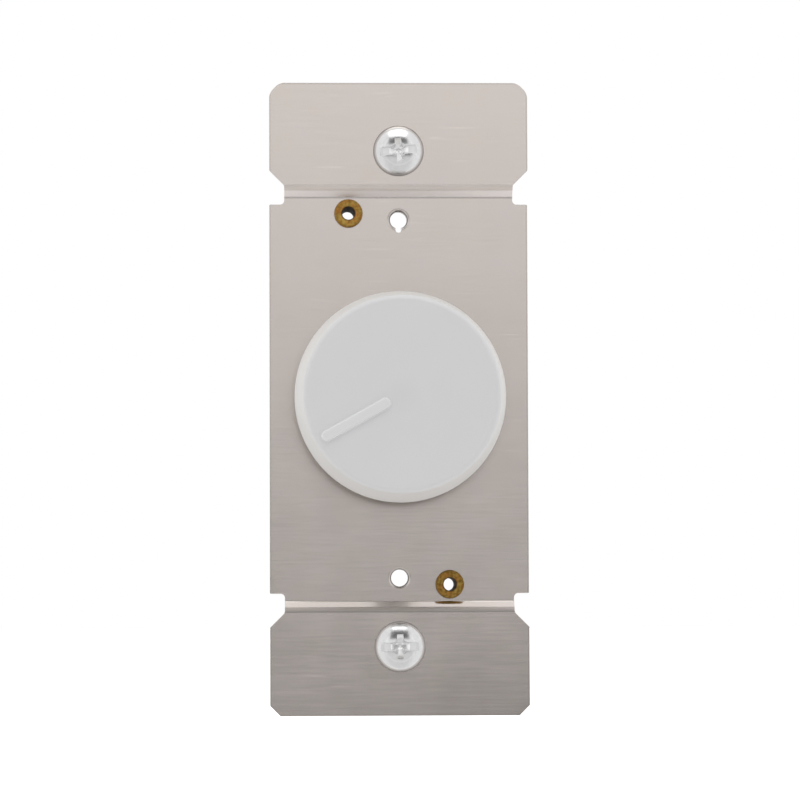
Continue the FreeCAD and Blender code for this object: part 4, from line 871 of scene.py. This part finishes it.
def make_screw(name, body, z, angle):
    """A screw with a domed head, whose recess is a cross, a cone at its middle and a slot right across."""
    low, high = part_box(name)
    top = low.y / MM
    under = top + HEAD_HEIGHT
    rim = under - HEAD_EDGE
    rise = rim - top
    ball = (HEAD_RADIUS ** 2 + rise ** 2) / (2 * rise)
    dome_angle = math.asin(DOME_REACH / ball)
    dome = [(ball * math.sin(angle_here), top + ball - ball * math.cos(angle_here), 0)
            for angle_here in (dome_angle * step / DOME_STEPS for step in range(DOME_STEPS + 1))]
    head = bmesh.new()
    turn_profile(head, dome + [(HEAD_SHOULDER, rim, HEAD_SHOULDER_CUT), (HEAD_RADIUS, under, HEAD_RIM_CUT),
                               (0, under, 0)], HEAD_STEPS)
    cone = bmesh.new()
    turn_profile(cone, [(0, top - CONE_LIFT, 0), (CONE_MOUTH, top - CONE_LIFT, 0),
                        (CONE_END, top + CONE_DEPTH, 0), (0, top + CONE_TIP, 0)], SHANK_STEPS)
    slot = block((HEAD_SLOT_LENGTH, 2 * HEAD_SLOT_DEPTH, HEAD_SLOT_WIDTH), (0, top, 0))
    for cutter in (tapered_cross(top), cone, slot):
        head = carve(head, cutter)
    bmesh.ops.dissolve_limit(head, angle_limit=0.002, verts=head.verts, edges=head.edges)
    ease_edges(head, sharp_edges(head, RECESS_ANGLE), HEAD_BREAK)

    add_thread(head, under, high.y / MM)
    turn(head, math.radians(angle))
    bmesh.ops.translate(head, verts=head.verts, vec=(0, 0, z * MM))
    finished_piece(f"{name}_zinc", head, "screw_zinc", body, [name], sharp=32)


def add_thread(bm, start, tip):
    """A helical thread, from a profile that climbs as it spins, and a core with a neck and a blunt point."""
    thread_start = start + NECK_LENGTH
    turns = int((tip - POINT_LENGTH - thread_start) / PITCH)
    flanks = ((THREAD_ROOT, 0), (THREAD_ROOT, FLANK_START), (THREAD_CREST, CREST_START),
              (THREAD_CREST, CREST_END), (THREAD_ROOT, FLANK_END), (THREAD_ROOT, 1))
    thread = bmesh.new()
    wire_path(thread, [(Vector((radius, thread_start + PITCH * share, 0)) * MM, 0)
                       for radius, share in flanks])
    bmesh.ops.spin(thread, geom=thread.verts[:] + thread.edges[:], cent=CENTRE, axis=-INTO_WALL,
                   dvec=INTO_WALL * PITCH * MM / THREAD_STEPS, angle=math.tau * turns,
                   steps=THREAD_STEPS * turns, use_merge=False)
    bmesh.ops.remove_doubles(thread, verts=thread.verts, dist=COARSE)
    add_mesh(bm, thread)
    turn_profile(bm, [(0, start - NECK_SINK, 0), (NECK_RADIUS, start - NECK_SINK, 0),
                      (NECK_RADIUS, start + NECK_TAPER[0], 0), (CORE_RADIUS, start + NECK_TAPER[1], 0),
                      (CORE_RADIUS, tip - POINT_TAPER, POINT_CUT), (POINT_RADIUS, tip, POINT_CUT),
                      (0, tip, 0)], SHANK_STEPS)


make_strap()
make_knob()
make_eyelet("upper_eyelet", -EYELET_X, EYELET_Z)
make_eyelet("lower_eyelet", EYELET_X, -EYELET_Z)
make_screw("upper_mounting_screw", "upper_screw", MOUNT_Z, -5)
make_screw("lower_mounting_screw", "lower_screw", -MOUNT_Z, -1)

# The nodes that stay as they are get their finish

for subpart in frame["record"]["subparts"]:
    kept = frame["nodes"][subpart["node"]]
    if not kept.hide_render:
        kept.data.materials.clear()
        kept.data.materials.append(finishes[subpart["material_slot"]])


# Floor

WHITE = (1, 1, 1)
FLOOR_COLOUR = (0.86, 0.86, 0.86)
FLOOR_LEVEL = -0.085
FLOOR_SIZE = 6.0
FLOOR_GLOW = 0.75


def make_floor():
    """A pale floor, which the camera sees as white and metal doesn't mirror."""
    bm = bmesh.new()
    bmesh.ops.create_grid(bm, x_segments=1, y_segments=1, size=FLOOR_SIZE)
    mesh = bpy.data.meshes.new("floor")
    bm.to_mesh(mesh)
    bm.free()
    floor = bpy.data.objects.new("floor", mesh)
    floor.location.z = FLOOR_LEVEL
    bpy.context.scene.collection.objects.link(floor)
    material = bpy.data.materials.new("pale_floor")
    material.use_nodes = True
    finish = Finish(material.node_tree)
    plain = finish.add("ShaderNodeBsdfDiffuse", {"Color": FLOOR_COLOUR})
    glow = finish.add("ShaderNodeEmission", {"Color": WHITE, "Strength": FLOOR_GLOW})
    seen = finish.ray("Camera")
    both = finish.add("ShaderNodeAddShader", {0: plain, 1: glow})
    shader = finish.add("ShaderNodeMixShader", {0: seen, 1: plain, 2: both})
    finish.add("ShaderNodeOutputMaterial", {"Surface": shader})
    mesh.materials.append(material)
    floor.visible_glossy = False


# Light. The room is drawn by direction: bands along Y, which points at the wall, and Z, which points up.

FRONT_LIGHT = 0.43
SIDE_LIGHT = 1.03
SIDES = (-0.8, -0.4)
BEHIND = (-0.3, 0.2)
HORIZON_LEVEL = 0.12
ROOM_LEVEL = 1.05
ROOM_START = (-0.04, 0.105)
TABLE_LEVEL = 0.82
TABLE_START = (-0.12, -0.2)
ASIDE = (-0.3, 0.1)
OPENING_LEVEL = 0.12
OPENING_FOOT = (0.35, 0.41)
OPENING_TOP = (0.79, 0.74)
OPENING_SLANT = 0.35
OPENING_SIDES = (0.03, -0.03)


def make_world():
    """A pale room as the light, and in reflections a pale room with a dark horizon and a dark opening."""
    world = bpy.data.worlds.new("studio")
    bpy.context.scene.world = world
    world.use_nodes = True
    finish = Finish(world.node_tree)
    way = finish.add("ShaderNodeTexCoord", output="Generated")
    x, y, z = (finish.add("ShaderNodeSeparateXYZ", {"Vector": way}, output=axis) for axis in "XYZ")

    def band(value, ends, level=1.0):
        """A soft step from 0 to a level."""
        return finish.add("ShaderNodeMapRange", {"Value": value, "From Min": ends[0], "From Max": ends[1],
                                                 "To Max": level}, interpolation_type="SMOOTHSTEP")

    def light(strength):
        return finish.add("ShaderNodeBackground", {"Color": WHITE, "Strength": strength})
    behind = band(y, BEHIND)
    above = band(z, ROOM_START, ROOM_LEVEL - HORIZON_LEVEL)
    table = band(z, TABLE_START, TABLE_LEVEL - HORIZON_LEVEL)
    aside = band(x * x - y * y, ASIDE)
    front = (HORIZON_LEVEL + above + table) * (1 - aside) + aside
    opening = (band(z, OPENING_FOOT) * band(z, OPENING_TOP)
               * band(x * x - OPENING_SLANT * y * y, OPENING_SIDES) * (1 - behind))
    mirrored = light((front * (1 - behind) + behind) * (1 - (1 - OPENING_LEVEL) * opening))
    plain = light(FRONT_LIGHT + (SIDE_LIGHT - FRONT_LIGHT) * band(y, SIDES))
    lit = finish.add("ShaderNodeMixShader", {0: finish.ray("Glossy"), 1: plain, 2: mirrored})
    through = finish.ray("Camera") + finish.ray("Transmission")
    shader = finish.add("ShaderNodeMixShader", {0: through, 1: lit, 2: light(1.0)})
    finish.add("ShaderNodeOutputWorld", {"Surface": shader})


LAMP_PLACE = Vector((0.0, -0.3, 0.53))
LAMP_SIZE = (0.45, 0.27)
LAMP_POWER = 0.5


def make_lamp():
    """A soft overhead lamp that faces the object."""
    lamp = bpy.data.lights.new("overhead", "AREA")
    lamp.shape = "RECTANGLE"
    lamp.size, lamp.size_y = LAMP_SIZE
    lamp.energy = LAMP_POWER
    item = bpy.data.objects.new("overhead", lamp)
    item.location = LAMP_PLACE
    item.rotation_euler = (-LAMP_PLACE).to_track_quat("-Z", "Y").to_euler()
    bpy.context.scene.collection.objects.link(item)


# Camera

CAMERA_PLACE = Vector((-25.38, -673.8, -33.38)) * MM
CAMERA_YAW = 0.0379
CAMERA_PITCH = 0.0491
CAMERA_ROLL = -0.0033
CAMERA_LENS = 180.6
CAMERA_SENSOR = 36
CAMERA_CLIP = (0.05, 20)


def make_camera():
    """The camera where the photograph was taken, from its yaw, pitch and roll in radians."""
    data = bpy.data.cameras.new("camera")
    data.sensor_width = CAMERA_SENSOR
    data.lens = CAMERA_LENS
    data.clip_start, data.clip_end = CAMERA_CLIP
    camera = bpy.data.objects.new("camera", data)
    ahead = Vector((math.sin(CAMERA_YAW) * math.cos(CAMERA_PITCH),
                    math.cos(CAMERA_YAW) * math.cos(CAMERA_PITCH), math.sin(CAMERA_PITCH)))
    right = Vector((math.cos(CAMERA_YAW), -math.sin(CAMERA_YAW), 0))
    above = right.cross(ahead)
    rolled_right = right * math.cos(CAMERA_ROLL) + above * math.sin(CAMERA_ROLL)
    rolled_above = above * math.cos(CAMERA_ROLL) - right * math.sin(CAMERA_ROLL)
    turned = Matrix((rolled_right, rolled_above, -ahead)).transposed().to_4x4()
    camera.matrix_world = Matrix.Translation(CAMERA_PLACE) @ turned
    bpy.context.scene.collection.objects.link(camera)
    bpy.context.scene.camera = camera


make_floor()
make_world()
make_lamp()
make_camera()
bpy.context.scene.view_settings.view_transform = "Standard"
